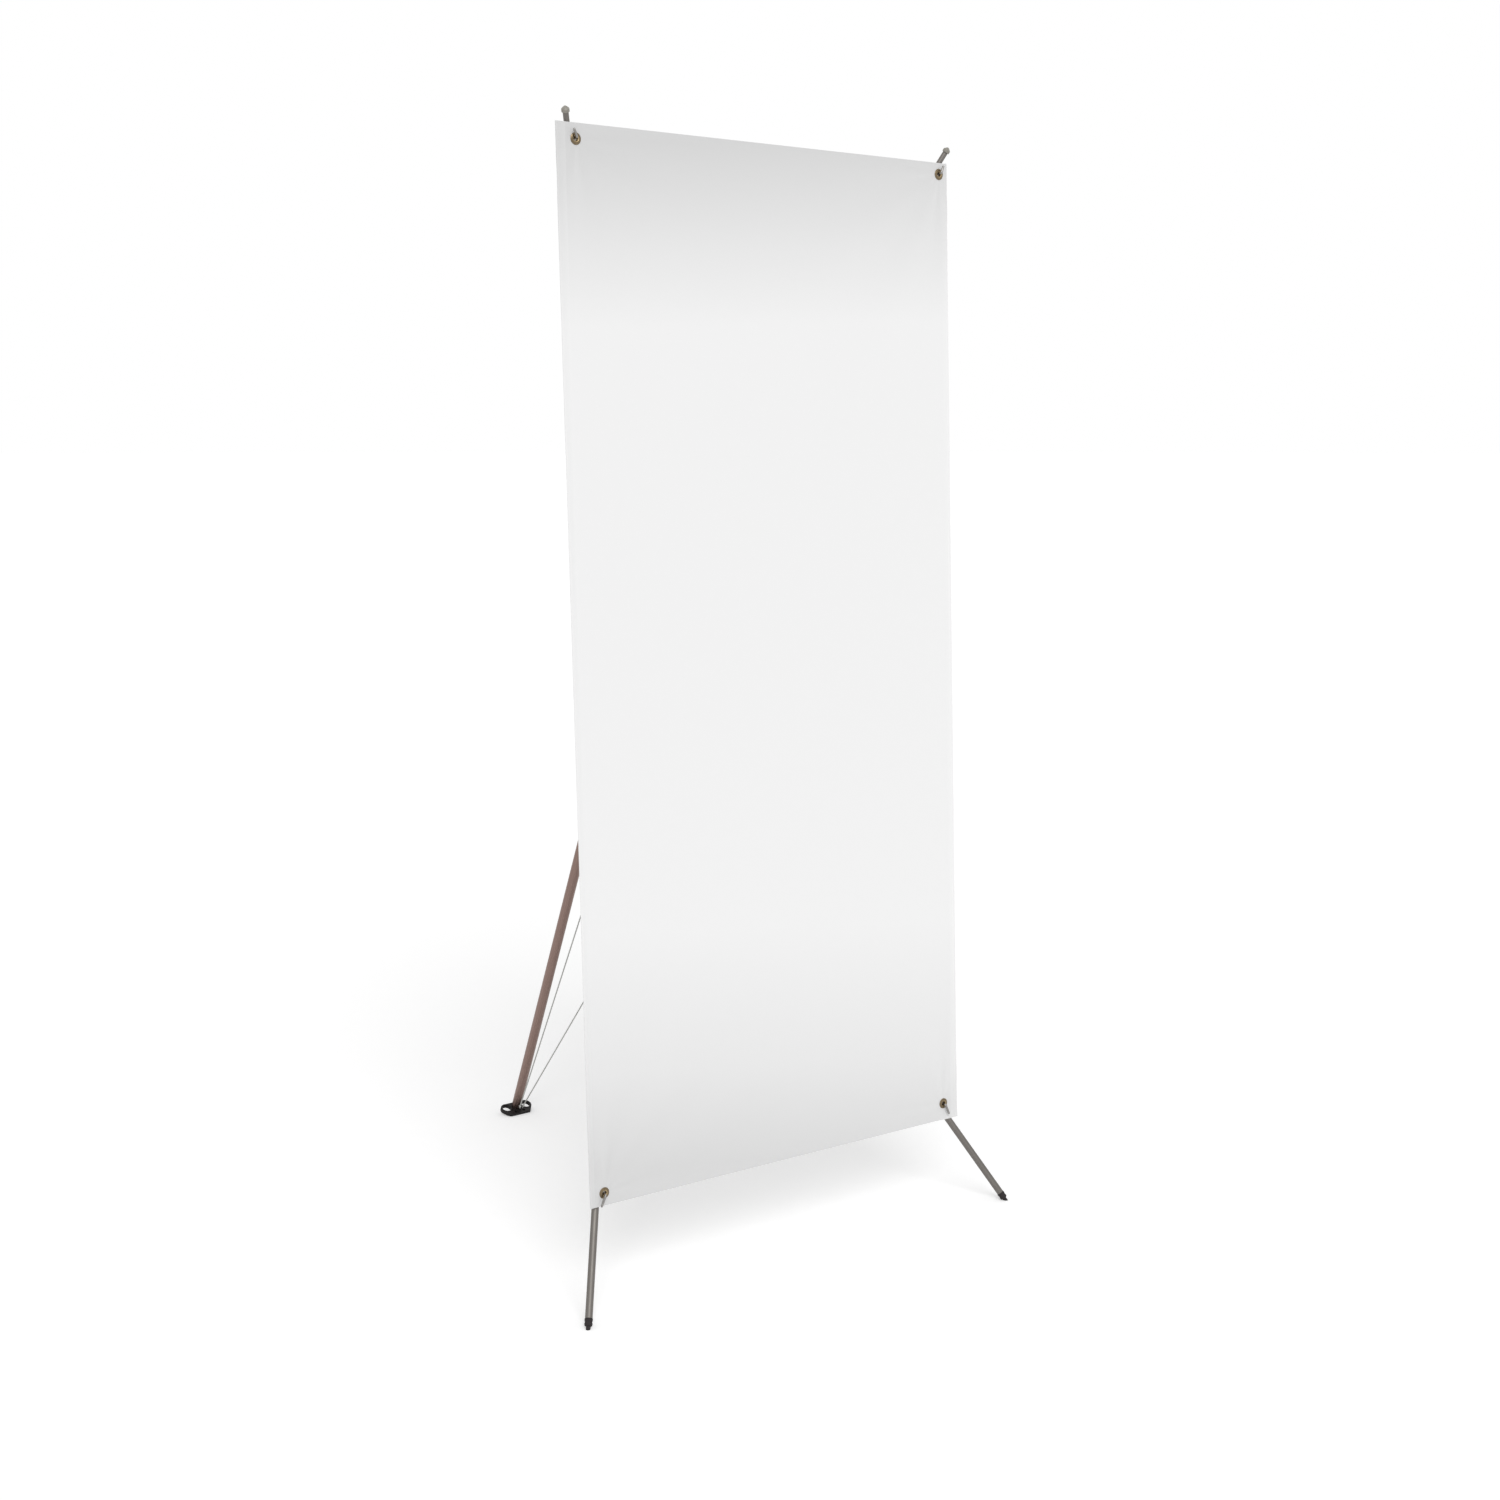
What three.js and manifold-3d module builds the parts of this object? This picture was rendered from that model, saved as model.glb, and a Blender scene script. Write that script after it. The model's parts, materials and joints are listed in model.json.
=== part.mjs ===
// Tripod banner stand: a leaning mast and two front legs meet in a hub behind the banner, and two
// slim arms rise from the same hub. A hook on each arm and each leg reaches forward through an eyelet
// in a corner of the banner and turns outward in front of it. Two cords tie the rear foot to the legs.
// Millimetres, +Z up, the banner faces -Y.

import * as THREE from 'three';
import { mergeVertices } from 'three/addons/utils/BufferGeometryUtils.js';
import Module from 'manifold-3d';

const wasm = await Module();
wasm.setup();

// Fits shared by every piece
const clearance = 0.3;
const overrun = 4;

// Banner
const bannerWidth = 825;
const bannerHeight = 1778;
const bannerThickness = 0.6;
const bannerLean = THREE.MathUtils.degToRad(1.6);
const bannerAboveFloor = 164;
const eyeletInset = 25;
const eyeletBore = 4;
const eyeletBarrelWall = 0.6;
const eyeletFlange = 9.75;
const eyeletFlangeThickness = 0.8;

// Where the members meet, measured from the floor line under the banner's lower eyelets
const hubHeight = 1012;
const hubSetback = 491;
const mastFootSetback = 940;

// Mast
const mastRadius = 10;
const mastWall = 1.2;
const mastStart = 15;

// Front legs
const legRadius = 6.35;
const legWall = 1;
const legBehindBanner = 23;

// Upper arms, each in two rods joined by a sleeve
const armRadius = 4.75;
const armWall = 0.8;
const armBehindBanner = 19;
const armPastHook = 45;
const armSplitShare = 0.48;
const sleeveLength = 60;
const sleeveWall = 1.3;

// Hub and its four hinges
const coreRadius = 21;
const pivotReach = 38;
const earRadius = 9;
const earThickness = 5;
const tongueRadius = 7.5;
const tongueThickness = 6;
const knuckleCollar = 5;
const plugLength = 24;
const socketWall = 5;
const socketLength = 66;
const mastBoltShare = 0.68;

// Bolts and nuts
const boltRadius = 2.5;
const boltHeadRadius = 4.6;
const boltHeadHeight = 2.8;
const nutRadius = 4.6;
const nutHeight = 3.6;
const threadProud = 1.2;

// Hooks and the clips that hold them
const wireRadius = 2;
const clipLength = 13;
const clipWall = 2.2;
const clipBossRadius = 3.8;
const clipBossReach = 4.5;
const hookBend = 3;
const armHookTail = 15;
const legHookTail = 22;

// Arm tips and leg feet
const tipFlange = 6.6;
const tipFlangeHeight = 5.5;
const tipPointHeight = 4.5;
const tipPointRadius = 1.6;
const footFlange = 7;
const footFlangeHeight = 12.5;
const footGroove = 0.8;
const footNoseRadius = 3.9;
const footNoseLength = 5;

// Rear foot: a plate square to the mast with two large rings, standing on its cut front edge
const plateThickness = 8;
const ringSpacing = 23.5;
const ringRadius = 13;
const ringHole = 9.8;
const plateFront = 23;
const plateFrontHalfWidth = 22;
const plateCorner = 2.5;
const pegHole = 3.2;
const pegHoleSpacing = 9.5;
const pegHoleForward = 16;
const landDepth = 2.5;
const stubLength = 36;
const footScrewRadius = 2;
const footScrewHeadRadius = 3.8;
const footScrewHeadHeight = 2.2;
const footScrewUp = 18;

// Stay cords, tied to a lug on the rear foot and to clips on the legs
const cordRadius = 1.3;
const knotRadius = 2.9;
const footLugForward = 17;
const footLugHeight = 8;
const cordClipShare = 0.225;
const lugThickness = 4;
const lugRadius = 4.2;
const lugHole = 1.9;

// Facets round a turned surface
const fineSides = 28;
const tubeSides = 20;
const smallSides = 12;
const wireSides = 10;
const cordSides = 8;
const bendSteps = 14;
const cordSteps = 40;
const arcSteps = 8;
const nutSides = 6;

const sides = [['left', -1], ['right', 1]];
const worldX = new THREE.Vector3(1, 0, 0);
const forward = new THREE.Vector3(0, -1, 0);

// Meshes to solids and back

function solid(geometry) {
  const bare = geometry.clone();
  bare.deleteAttribute('normal');
  bare.deleteAttribute('uv');
  const merged = mergeVertices(bare);
  const { array } = merged.index;
  const kept = [];
  for (let i = 0; i < array.length; i += 3) {
    const corners = [array[i], array[i + 1], array[i + 2]];
    if (new Set(corners).size === corners.length) {
      kept.push(...corners);
    }
  }
  return new wasm.Manifold(new wasm.Mesh({
    numProp: 3,
    vertProperties: new Float32Array(merged.attributes.position.array),
    triVerts: new Uint32Array(kept),
  }));
}

function geometryOf(body) {
  const { vertProperties, triVerts } = body.getMesh();
  const geometry = new THREE.BufferGeometry();
  geometry.setAttribute('position', new THREE.BufferAttribute(new Float32Array(vertProperties), 3));
  geometry.setIndex(new THREE.BufferAttribute(new Uint32Array(triVerts), 1));
  geometry.computeVertexNormals();
  return geometry;
}

function joined(geometries) {
  return geometries.map(solid).reduce((whole, next) => whole.add(next));
}

function cut(body, geometries) {
  return geometries.map(solid).reduce((rest, next) => rest.subtract(next), body);
}

// Shapes turned about Z from [radius, height] points, going up the outside

function turned(profile, count) {
  const points = profile.map(([radius, height]) => new THREE.Vector2(radius, height));
  const geometry = new THREE.LatheGeometry(points, count);
  geometry.rotateX(Math.PI / 2);
  return geometry;
}

function rod(radius, from, to, count) {
  return turned([[0, from], [radius, from], [radius, to], [0, to]], count);
}

function pipe(outer, inner, from, to, count) {
  return turned([[inner, from], [outer, from], [outer, to], [inner, to], [inner, from]], count);
}

function sheet(shape, depth) {
  return new THREE.ExtrudeGeometry(shape, { depth, bevelEnabled: false, curveSegments: arcSteps });
}

// A shape drawn across and along a member, from one place to another on its hinge axis

function plate(shape, from, to) {
  const geometry = sheet(shape, to - from);
  const turn = new THREE.Matrix4().makeBasis(
    new THREE.Vector3(0, 1, 0), new THREE.Vector3(0, 0, 1), new THREE.Vector3(1, 0, 0));
  geometry.applyMatrix4(turn);
  geometry.translate(from, 0, 0);
  return geometry;
}

// A rod or pipe laid along the hinge axis through a point on the member

function across(geometry, height) {
  return geometry.clone().rotateY(Math.PI / 2).translate(0, 0, height);
}

function wire(path, radius, count, steps) {
  const section = new THREE.Shape();
  section.absarc(0, 0, radius, 0, 2 * Math.PI);
  return new THREE.ExtrudeGeometry(section, { steps, extrudePath: path, curveSegments: count / 2 });
}

// A frame at the hub: Z runs out along the member, X is its hinge axis, and turning about +X folds
// the member towards the given direction

function memberFrame(target, foldsTowards) {
  const along = target.clone().sub(hub).normalize();
  const hinge = along.clone().cross(foldsTowards).normalize();
  return new THREE.Matrix4().makeBasis(hinge, along.clone().cross(hinge), along).setPosition(hub);
}

function groupAt(frame) {
  const group = new THREE.Group();
  group.applyMatrix4(frame);
  return group;
}

function inFrame(frame, point) {
  return point.clone().applyMatrix4(frame.clone().invert());
}

function directionInFrame(frame, direction) {
  return direction.clone().transformDirection(frame.clone().invert());
}

function floorIn(frame, place) {
  const size = 2 * ringSpacing + 4 * ringRadius;
  const slab = new THREE.BoxGeometry(size, size, size);
  slab.translate(place.x, place.y, -size / 2);
  return slab.applyMatrix4(frame.clone().invert());
}

// Finishes: each piece gets its own material

const finishes = {
  satinAluminium: { color: 0x9a9690, roughness: 0.38, metalness: 0.9 },
  mastAluminium: { color: 0x8f857c, roughness: 0.42, metalness: 0.85 },
  blackNylon: { color: 0x1b1b1c, roughness: 0.55, metalness: 0 },
  greyCap: { color: 0x6f6e6b, roughness: 0.5, metalness: 0 },
  blackRubber: { color: 0x191614, roughness: 0.8, metalness: 0 },
  zincSteel: { color: 0xa6a8aa, roughness: 0.35, metalness: 0.9 },
  brass: { color: 0x8b6b42, roughness: 0.35, metalness: 0.9 },
  cord: { color: 0xb9b9b6, roughness: 0.8, metalness: 0 },
  bannerVinyl: { color: 0xe9eaeb, roughness: 0.6, metalness: 0 },
};

function piece(name, body, finish) {
  const geometry = body.isBufferGeometry ? body : geometryOf(body);
  const material = new THREE.MeshStandardMaterial({ name: finish, ...finishes[finish] });
  const mesh = new THREE.Mesh(geometry, material);
  mesh.name = name;
  return mesh;
}

// Places that the pieces share

const hub = new THREE.Vector3(0, hubSetback, hubHeight);
const mastFoot = new THREE.Vector3(0, mastFootSetback, 0);
const downMast = mastFoot.clone().sub(hub).normalize();
const upMast = downMast.clone().negate();
const mastReach = mastFoot.distanceTo(hub);
const mastTilt = Math.acos(upMast.z);
const socketRadius = mastRadius + clearance + socketWall;
const mastBoltAt = socketLength * mastBoltShare;
const mastFrame = new THREE.Matrix4()
  .makeBasis(worldX, downMast.clone().cross(worldX), downMast).setPosition(hub);

const eyeletRise = bannerHeight - 2 * eyeletInset;
const eyeletSpread = bannerWidth / 2 - eyeletInset;
const lowerEyeletHeight = bannerAboveFloor + eyeletInset * Math.cos(bannerLean);
const bannerFrame = new THREE.Matrix4().makeRotationX(-bannerLean).setPosition(0, 0, lowerEyeletHeight);
const wireInEyelet = eyeletBore - wireRadius - clearance;

// The hook's wire bears on the outer rim of its eyelet, on the side away from the banner's middle

function hookPlace(side, upper) {
  const height = upper ? eyeletRise : 0;
  const eyelet = new THREE.Vector3(side * eyeletSpread, 0, height).applyMatrix4(bannerFrame);
  const outward = eyelet.clone().sub(hub);
  const normal = new THREE.Vector3(0, 1, 0).transformDirection(bannerFrame);
  outward.addScaledVector(normal, -outward.dot(normal)).normalize();
  const wireAt = eyelet.clone().addScaledVector(outward, wireInEyelet);
  const behind = upper ? armBehindBanner : legBehindBanner;
  const memberAt = wireAt.clone().addScaledVector(forward, -behind);
  return { outward, wireAt, memberAt };
}

// Hinge of one member: two ears on the hub, a tongue on the member, a bolt and its nut

const halfStack = tongueThickness / 2 + clearance + earThickness;
const collarStart = pivotReach + earRadius + 2 * clearance;
const tubeStart = collarStart + knuckleCollar + clearance;

function earShape() {
  const shape = new THREE.Shape();
  shape.moveTo(earRadius, 0);
  shape.absarc(0, pivotReach, earRadius, 0, Math.PI);
  shape.lineTo(-earRadius, 0);
  return shape;
}

function ears() {
  const inner = tongueThickness / 2 + clearance;
  return [plate(earShape(), inner, halfStack), plate(earShape(), -halfStack, -inner)];
}

function hingeCuts() {
  const slotRadius = tongueRadius + 2 * clearance;
  const slotHalf = tongueThickness / 2 + clearance;
  const hole = boltRadius + clearance;
  return [
    across(rod(slotRadius, -slotHalf, slotHalf, fineSides), pivotReach),
    across(rod(hole, -halfStack - overrun, halfStack + overrun, smallSides), pivotReach),
  ];
}

function knuckle(outer, wall) {
  const shape = new THREE.Shape();
  shape.absarc(0, pivotReach, tongueRadius, Math.PI, 2 * Math.PI);
  shape.lineTo(outer, collarStart);
  shape.lineTo(outer, collarStart + knuckleCollar / 2);
  shape.lineTo(-outer, collarStart + knuckleCollar / 2);
  shape.lineTo(-outer, collarStart);
  const plug = outer - wall - clearance;
  const body = joined([
    plate(shape, -tongueThickness / 2, tongueThickness / 2),
    rod(outer, collarStart, collarStart + knuckleCollar, tubeSides),
    rod(plug, collarStart, tubeStart + plugLength, tubeSides),
  ]);
  const hole = boltRadius + clearance;
  return cut(body, [across(rod(hole, -outer - overrun, outer + overrun, smallSides), pivotReach)]);
}

function bolt(half, headSide) {
  const seat = half + clearance;
  const end = seat + nutHeight + threadProud;
  const profile = [
    [0, -end], [boltRadius, -end], [boltRadius, seat],
    [boltHeadRadius, seat], [boltHeadRadius, seat + boltHeadHeight / 2],
    [boltRadius, seat + boltHeadHeight], [0, seat + boltHeadHeight],
  ];
  const geometry = turned(profile, smallSides);
  return headSide < 0 ? geometry.rotateX(Math.PI) : geometry;
}

function nut(half, headSide) {
  const seat = half + clearance;
  const body = cut(joined([rod(nutRadius, -seat - nutHeight, -seat, nutSides)]), [
    rod(boltRadius + clearance / 2, -seat - nutHeight - overrun, -seat + overrun, smallSides),
  ]);
  const geometry = geometryOf(body);
  return headSide < 0 ? geometry.rotateX(Math.PI) : geometry;
}

// Hub: a round core with a socket for the mast and four pairs of ears

function hubBody(frames) {
  const solids = [
    new THREE.SphereGeometry(coreRadius, tubeSides, smallSides).translate(...hub),
    rod(socketRadius, 0, socketLength, fineSides).applyMatrix4(mastFrame),
  ];
  const bore = rod(mastRadius + clearance, mastStart - clearance, socketLength + overrun, fineSides);
  const cuts = [bore.applyMatrix4(mastFrame), mastBoltHole().applyMatrix4(mastFrame)];
  for (const frame of frames) {
    solids.push(...ears().map((ear) => ear.applyMatrix4(frame)));
    cuts.push(...hingeCuts().map((hole) => hole.applyMatrix4(frame)));
  }
  return geometryOf(cut(joined(solids), cuts)).translate(...hub.clone().negate());
}

function mastBoltHole() {
  const past = socketRadius + overrun;
  return across(rod(boltRadius + clearance, -past, past, smallSides), mastBoltAt);
}

// Mast, its bolt in the hub's socket, and the rear foot with its screw

const plateBottom = mastReach - (plateFront * Math.sin(mastTilt) - landDepth) / Math.cos(mastTilt);
const plateTop = plateBottom - plateThickness;
const mastEnd = plateTop - clearance;
const footScrewAt = mastEnd - footScrewUp;

function mastTube() {
  const tube = joined([pipe(mastRadius, mastRadius - mastWall, mastStart, mastEnd, fineSides)]);
  return cut(tube, [mastBoltHole(), footScrewHole()]);
}

function footScrewHole() {
  const hole = rod(footScrewRadius + clearance, 0, mastRadius + overrun, smallSides);
  return hole.rotateX(Math.PI / 2).translate(0, 0, footScrewAt);
}

function footPlateShape() {
  const shape = new THREE.Shape();
  const corner = [plateFrontHalfWidth, plateFront - plateCorner];
  const slope = Math.atan2(corner[1], corner[0] - ringSpacing);
  const span = Math.hypot(corner[1], corner[0] - ringSpacing);
  const lean = slope - Math.acos((ringRadius - plateCorner) / span);
  shape.absarc(ringSpacing, 0, ringRadius, -Math.PI / 2, lean);
  shape.absarc(...corner, plateCorner, lean, Math.PI / 2);
  shape.absarc(-corner[0], corner[1], plateCorner, Math.PI / 2, Math.PI - lean);
  shape.absarc(-ringSpacing, 0, ringRadius, Math.PI - lean, 1.5 * Math.PI);
  for (const [, side] of sides) {
    shape.holes.push(new THREE.Path().absarc(side * ringSpacing, 0, ringHole, 0, 2 * Math.PI));
    const peg = [side * pegHoleSpacing, pegHoleForward];
    shape.holes.push(new THREE.Path().absarc(...peg, pegHole, 0, 2 * Math.PI));
  }
  return shape;
}

// Where a cord is tied on the rear foot, in the mast's frame: one on each side of the lug

function cordFoot(side) {
  const beside = lugThickness / 2 + cordRadius;
  return new THREE.Vector3(side * beside, footLugForward, plateTop - footLugHeight);
}

function cordFrame(side) {
  const start = cordFoot(side).applyMatrix4(mastFrame);
  const along = cordClipEye(side).sub(start).normalize();
  const flat = along.clone().cross(worldX).normalize();
  return new THREE.Matrix4().makeBasis(flat.clone().cross(along), flat, along).setPosition(start);
}

function rearFoot() {
  const platePart = sheet(footPlateShape(), plateThickness).translate(0, 0, plateTop);
  const stubRadius = mastRadius - mastWall - clearance;
  const stub = rod(stubRadius, mastEnd - stubLength, plateBottom - clearance, fineSides);
  const boss = rod(mastRadius, plateTop - clearance / 2, plateTop + plateThickness / 2, fineSides);
  const lugRoot = plateTop + plateThickness / 2;
  const eye = [footLugForward, plateTop - footLugHeight];
  const lugShape = new THREE.Shape();
  lugShape.moveTo(footLugForward + lugRadius, lugRoot);
  lugShape.lineTo(footLugForward - lugRadius, lugRoot);
  lugShape.absarc(...eye, lugRadius, Math.PI, 2 * Math.PI);
  lugShape.holes.push(new THREE.Path().absarc(...eye, lugHole, 0, 2 * Math.PI));
  const lug = plate(lugShape, -lugThickness / 2, lugThickness / 2);
  return cut(joined([platePart, stub, boss, lug]), [footScrewHole(), floorIn(mastFrame, mastFoot)]);
}

function footScrew() {
  const head = mastRadius + clearance;
  const profile = [
    [0, clearance], [footScrewRadius, clearance], [footScrewRadius, head],
    [footScrewHeadRadius, head], [footScrewHeadRadius, head + footScrewHeadHeight / 2],
    [footScrewRadius, head + footScrewHeadHeight], [0, head + footScrewHeadHeight],
  ];
  return turned(profile, smallSides).rotateX(Math.PI / 2).translate(0, 0, footScrewAt);
}

// Hooks: a clip round the member holds a bent wire that passes through the eyelet

function hookClip(frame, place, radius) {
  const at = inFrame(frame, place.memberAt);
  const towards = directionInFrame(frame, forward);
  const bossFrame = new THREE.Matrix4().makeRotationFromQuaternion(
    new THREE.Quaternion().setFromUnitVectors(new THREE.Vector3(0, 0, 1), towards)).setPosition(at);
  const bossEnd = wireStart(frame, radius) + clipBossReach;
  const boss = rod(clipBossRadius, radius, bossEnd, smallSides);
  const wireSeat = wireStart(frame, radius) - clearance;
  const wireHole = rod(wireRadius + clearance, wireSeat, bossEnd + overrun, smallSides);
  const solids = [clipRing(radius, at.z), boss.applyMatrix4(bossFrame)];
  return cut(joined(solids), [clipBore(radius, at.z), wireHole.applyMatrix4(bossFrame)]);
}

function clipRing(radius, at) {
  const outer = radius + clearance + clipWall;
  return pipe(outer, radius + clearance, at - clipLength / 2, at + clipLength / 2, fineSides);
}

function clipBore(radius, at) {
  return rod(radius + clearance, at - clipLength, at + clipLength, fineSides);
}

// How far in front of the member's axis the wire starts. The member leans, so the wire's lower edge is
// nearest to it and still keeps the clip's whole wall.

function wireStart(frame, radius) {
  const lean = Math.abs(directionInFrame(frame, forward).z);
  return (radius + clearance + clipWall + wireRadius * lean) / Math.sqrt(1 - lean * lean);
}

function hookWire(frame, place, radius, tail) {
  const inFront = eyeletFlangeThickness + bannerThickness + wireRadius + hookBend;
  const start = place.memberAt.clone().addScaledVector(forward, wireStart(frame, radius));
  const corner = place.wireAt.clone().addScaledVector(forward, inFront);
  const before = corner.clone().addScaledVector(forward, -hookBend);
  const after = corner.clone().addScaledVector(place.outward, hookBend);
  const path = new THREE.CurvePath();
  path.add(new THREE.LineCurve3(start, before));
  path.add(new THREE.QuadraticBezierCurve3(before, corner, after));
  path.add(new THREE.LineCurve3(after, corner.clone().addScaledVector(place.outward, tail)));
  return wire(path, wireRadius, wireSides, bendSteps);
}

// Upper arm: knuckle, two rods and their sleeve, a hook and a pointed cap

function arm(name, side) {
  const place = hookPlace(side, true);
  const frame = memberFrame(place.memberAt, upMast);
  const hookAt = inFrame(frame, place.memberAt).z;
  const tip = hookAt + armPastHook;
  const split = tubeStart + (tip - tubeStart) * armSplitShare;
  const bore = armRadius - armWall;
  const sleeveBore = armRadius + clearance;
  const sleeveEnds = [split - sleeveLength / 2, split + sleeveLength / 2];
  const lowerRod = pipe(armRadius, bore, tubeStart, split - clearance, tubeSides);
  const upperRod = pipe(armRadius, bore, split + clearance, tip, tubeSides);
  const sleeve = pipe(sleeveBore + sleeveWall, sleeveBore, ...sleeveEnds, tubeSides);
  const pointAt = tip + tipFlangeHeight + tipPointHeight;
  const tipCap = turned([
    [0, tip - plugLength / 2], [bore - clearance, tip - plugLength / 2],
    [bore - clearance, tip + clearance], [tipFlange, tip + clearance],
    [tipFlange, tip + tipFlangeHeight], [tipPointRadius, pointAt], [0, pointAt],
  ], tubeSides);
  const group = groupAt(frame);
  group.add(
    piece(`arm_knuckle_${name}`, knuckle(armRadius, armWall), 'blackNylon'),
    piece(`arm_pivot_bolt_${name}`, across(bolt(halfStack, 1), pivotReach), 'zincSteel'),
    piece(`arm_pivot_nut_${name}`, across(nut(halfStack, 1), pivotReach), 'zincSteel'),
    piece(`arm_lower_rod_${name}`, lowerRod, 'satinAluminium'),
    piece(`arm_upper_rod_${name}`, upperRod, 'satinAluminium'),
    piece(`arm_sleeve_${name}`, sleeve, 'satinAluminium'),
    piece(`arm_tip_cap_${name}`, tipCap, 'greyCap'),
    piece(`arm_hook_clip_${name}`, hookClip(frame, place, armRadius), 'blackNylon'),
  );
  const hook = piece(`arm_hook_${name}`, hookWire(frame, place, armRadius, armHookTail), 'zincSteel');
  return { frame, group, hook };
}

// Front leg: knuckle, tube, a hook, a cord clip and a rubber foot cut flat on the floor

function legTarget(side) {
  return hookPlace(side, false).memberAt;
}

function legFrame(side) {
  return memberFrame(legTarget(side), downMast);
}

function legReach(side) {
  const along = legTarget(side).sub(hub).normalize();
  return hubHeight / -along.z;
}

function leg(name, side) {
  const place = hookPlace(side, false);
  const frame = legFrame(side);
  const reach = legReach(side);
  const bore = legRadius - legWall;
  const flangeEnd = reach - footNoseLength;
  const tubeEnd = flangeEnd - footFlangeHeight;
  const rib = footFlangeHeight / 4;
  const footPlug = bore - clearance;
  const footWaist = footFlange - footGroove;
  const footTurned = turned([
    [0, tubeEnd - plugLength / 2], [footPlug, tubeEnd - plugLength / 2],
    [footPlug, tubeEnd + clearance], [footFlange, tubeEnd + clearance],
    [footFlange, tubeEnd + rib], [footWaist, tubeEnd + 2 * rib],
    [footFlange, tubeEnd + 3 * rib], [footWaist, flangeEnd], [footNoseRadius, flangeEnd],
    [footNoseRadius, reach + footNoseRadius], [0, reach + footNoseRadius],
  ], tubeSides);
  const floorPoint = new THREE.Vector3(0, 0, reach).applyMatrix4(frame);
  const tube = pipe(legRadius, bore, tubeStart, tubeEnd, tubeSides);
  const foot = cut(joined([footTurned]), [floorIn(frame, floorPoint)]);
  const group = groupAt(frame);
  group.add(
    piece(`leg_knuckle_${name}`, knuckle(legRadius, legWall), 'blackNylon'),
    piece(`leg_pivot_bolt_${name}`, across(bolt(halfStack, side), pivotReach), 'zincSteel'),
    piece(`leg_pivot_nut_${name}`, across(nut(halfStack, side), pivotReach), 'zincSteel'),
    piece(`leg_tube_${name}`, tube, 'satinAluminium'),
    piece(`leg_foot_${name}`, foot, 'blackRubber'),
    piece(`leg_hook_clip_${name}`, hookClip(frame, place, legRadius), 'blackNylon'),
    piece(`cord_clip_${name}`, cordClip(side), 'blackNylon'),
  );
  const hook = piece(`leg_hook_${name}`, hookWire(frame, place, legRadius, legHookTail), 'zincSteel');
  return { frame, group, hook };
}

// Cord clip: a ring on the leg with a lug that points down the cord

function cordClipTurn(side) {
  const frame = legFrame(side);
  const foot = inFrame(frame, cordFoot(side).applyMatrix4(mastFrame));
  return Math.atan2(foot.y, foot.x);
}

const lugReach = legRadius + clearance + clipWall + lugRadius;

function cordClipEye(side) {
  const eye = new THREE.Vector3(lugReach, 0, legReach(side) * cordClipShare);
  return eye.applyAxisAngle(new THREE.Vector3(0, 0, 1), cordClipTurn(side)).applyMatrix4(legFrame(side));
}

function cordClip(side) {
  const at = legReach(side) * cordClipShare;
  const shape = new THREE.Shape();
  shape.moveTo(legRadius, -lugRadius);
  shape.absarc(lugReach, 0, lugRadius, -Math.PI / 2, Math.PI / 2);
  shape.lineTo(legRadius, lugRadius);
  shape.holes.push(new THREE.Path().absarc(lugReach, 0, lugHole, 0, 2 * Math.PI));
  const lug = sheet(shape, lugThickness).translate(0, 0, -lugThickness / 2);
  lug.rotateX(Math.PI / 2).rotateZ(cordClipTurn(side)).translate(0, 0, at);
  return cut(joined([clipRing(legRadius, at), lug]), [clipBore(legRadius, at)]);
}

// Stay cord: taut from a knot against the rear foot's lug to a knot against the leg's lug

function stayCord(side) {
  const frame = cordFrame(side);
  const span = cordClipEye(side).distanceTo(cordFoot(side).applyMatrix4(mastFrame));
  const lowKnot = lugRadius + clearance + knotRadius;
  const highKnot = span - lowKnot;
  const run = new THREE.LineCurve3(new THREE.Vector3(0, 0, lowKnot), new THREE.Vector3(0, 0, highKnot));
  const knot = () => new THREE.SphereGeometry(knotRadius, smallSides, smallSides / 2);
  const body = joined([
    wire(run, cordRadius, cordSides, cordSteps),
    knot().translate(0, 0, lowKnot),
    knot().translate(0, 0, highKnot),
  ]);
  const mesh = piece(`stay_cord_${side < 0 ? 'left' : 'right'}`, body, 'cord');
  mesh.applyMatrix4(frame);
  return mesh;
}

// Banner: one sheet with a pressed eyelet near each corner

function banner() {
  const group = groupAt(bannerFrame);
  const outline = new THREE.Shape();
  const half = bannerWidth / 2;
  outline.moveTo(-half, -eyeletInset);
  outline.lineTo(half, -eyeletInset);
  outline.lineTo(half, bannerHeight - eyeletInset);
  outline.lineTo(-half, bannerHeight - eyeletInset);
  const barrel = eyeletBore + eyeletBarrelWall;
  const seat = bannerThickness / 2 + clearance;
  const face = seat + eyeletFlangeThickness;
  const eyeletProfile = [
    [eyeletBore, -face], [eyeletFlange, -face], [eyeletFlange, -seat], [barrel, -seat],
    [barrel, seat], [eyeletFlange, seat], [eyeletFlange, face], [eyeletBore, face], [eyeletBore, -face],
  ];
  for (const [name, side] of sides) {
    for (const [level, height] of [['lower', 0], ['upper', eyeletRise]]) {
      const centre = new THREE.Vector3(side * eyeletSpread, 0, height);
      outline.holes.push(new THREE.Path().absarc(centre.x, centre.z, barrel + clearance, 0, 2 * Math.PI));
      const eyelet = piece(`eyelet_${level}_${name}`, turned(eyeletProfile, tubeSides), 'brass');
      eyelet.rotation.x = Math.PI / 2;
      eyelet.position.copy(centre);
      group.add(eyelet);
    }
  }
  const cloth = sheet(outline, bannerThickness).translate(0, 0, -bannerThickness / 2).rotateX(Math.PI / 2);
  group.add(piece('banner', cloth, 'bannerVinyl'));
  return group;
}

// The whole stand, moved so that the middle of its footprint is the origin

const arms = sides.map(([name, side]) => arm(name, side));
const legs = sides.map(([name, side]) => leg(name, side));

const hubMesh = piece('hub', hubBody([...arms, ...legs].map((member) => member.frame)), 'blackNylon');
hubMesh.position.copy(hub);

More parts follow.
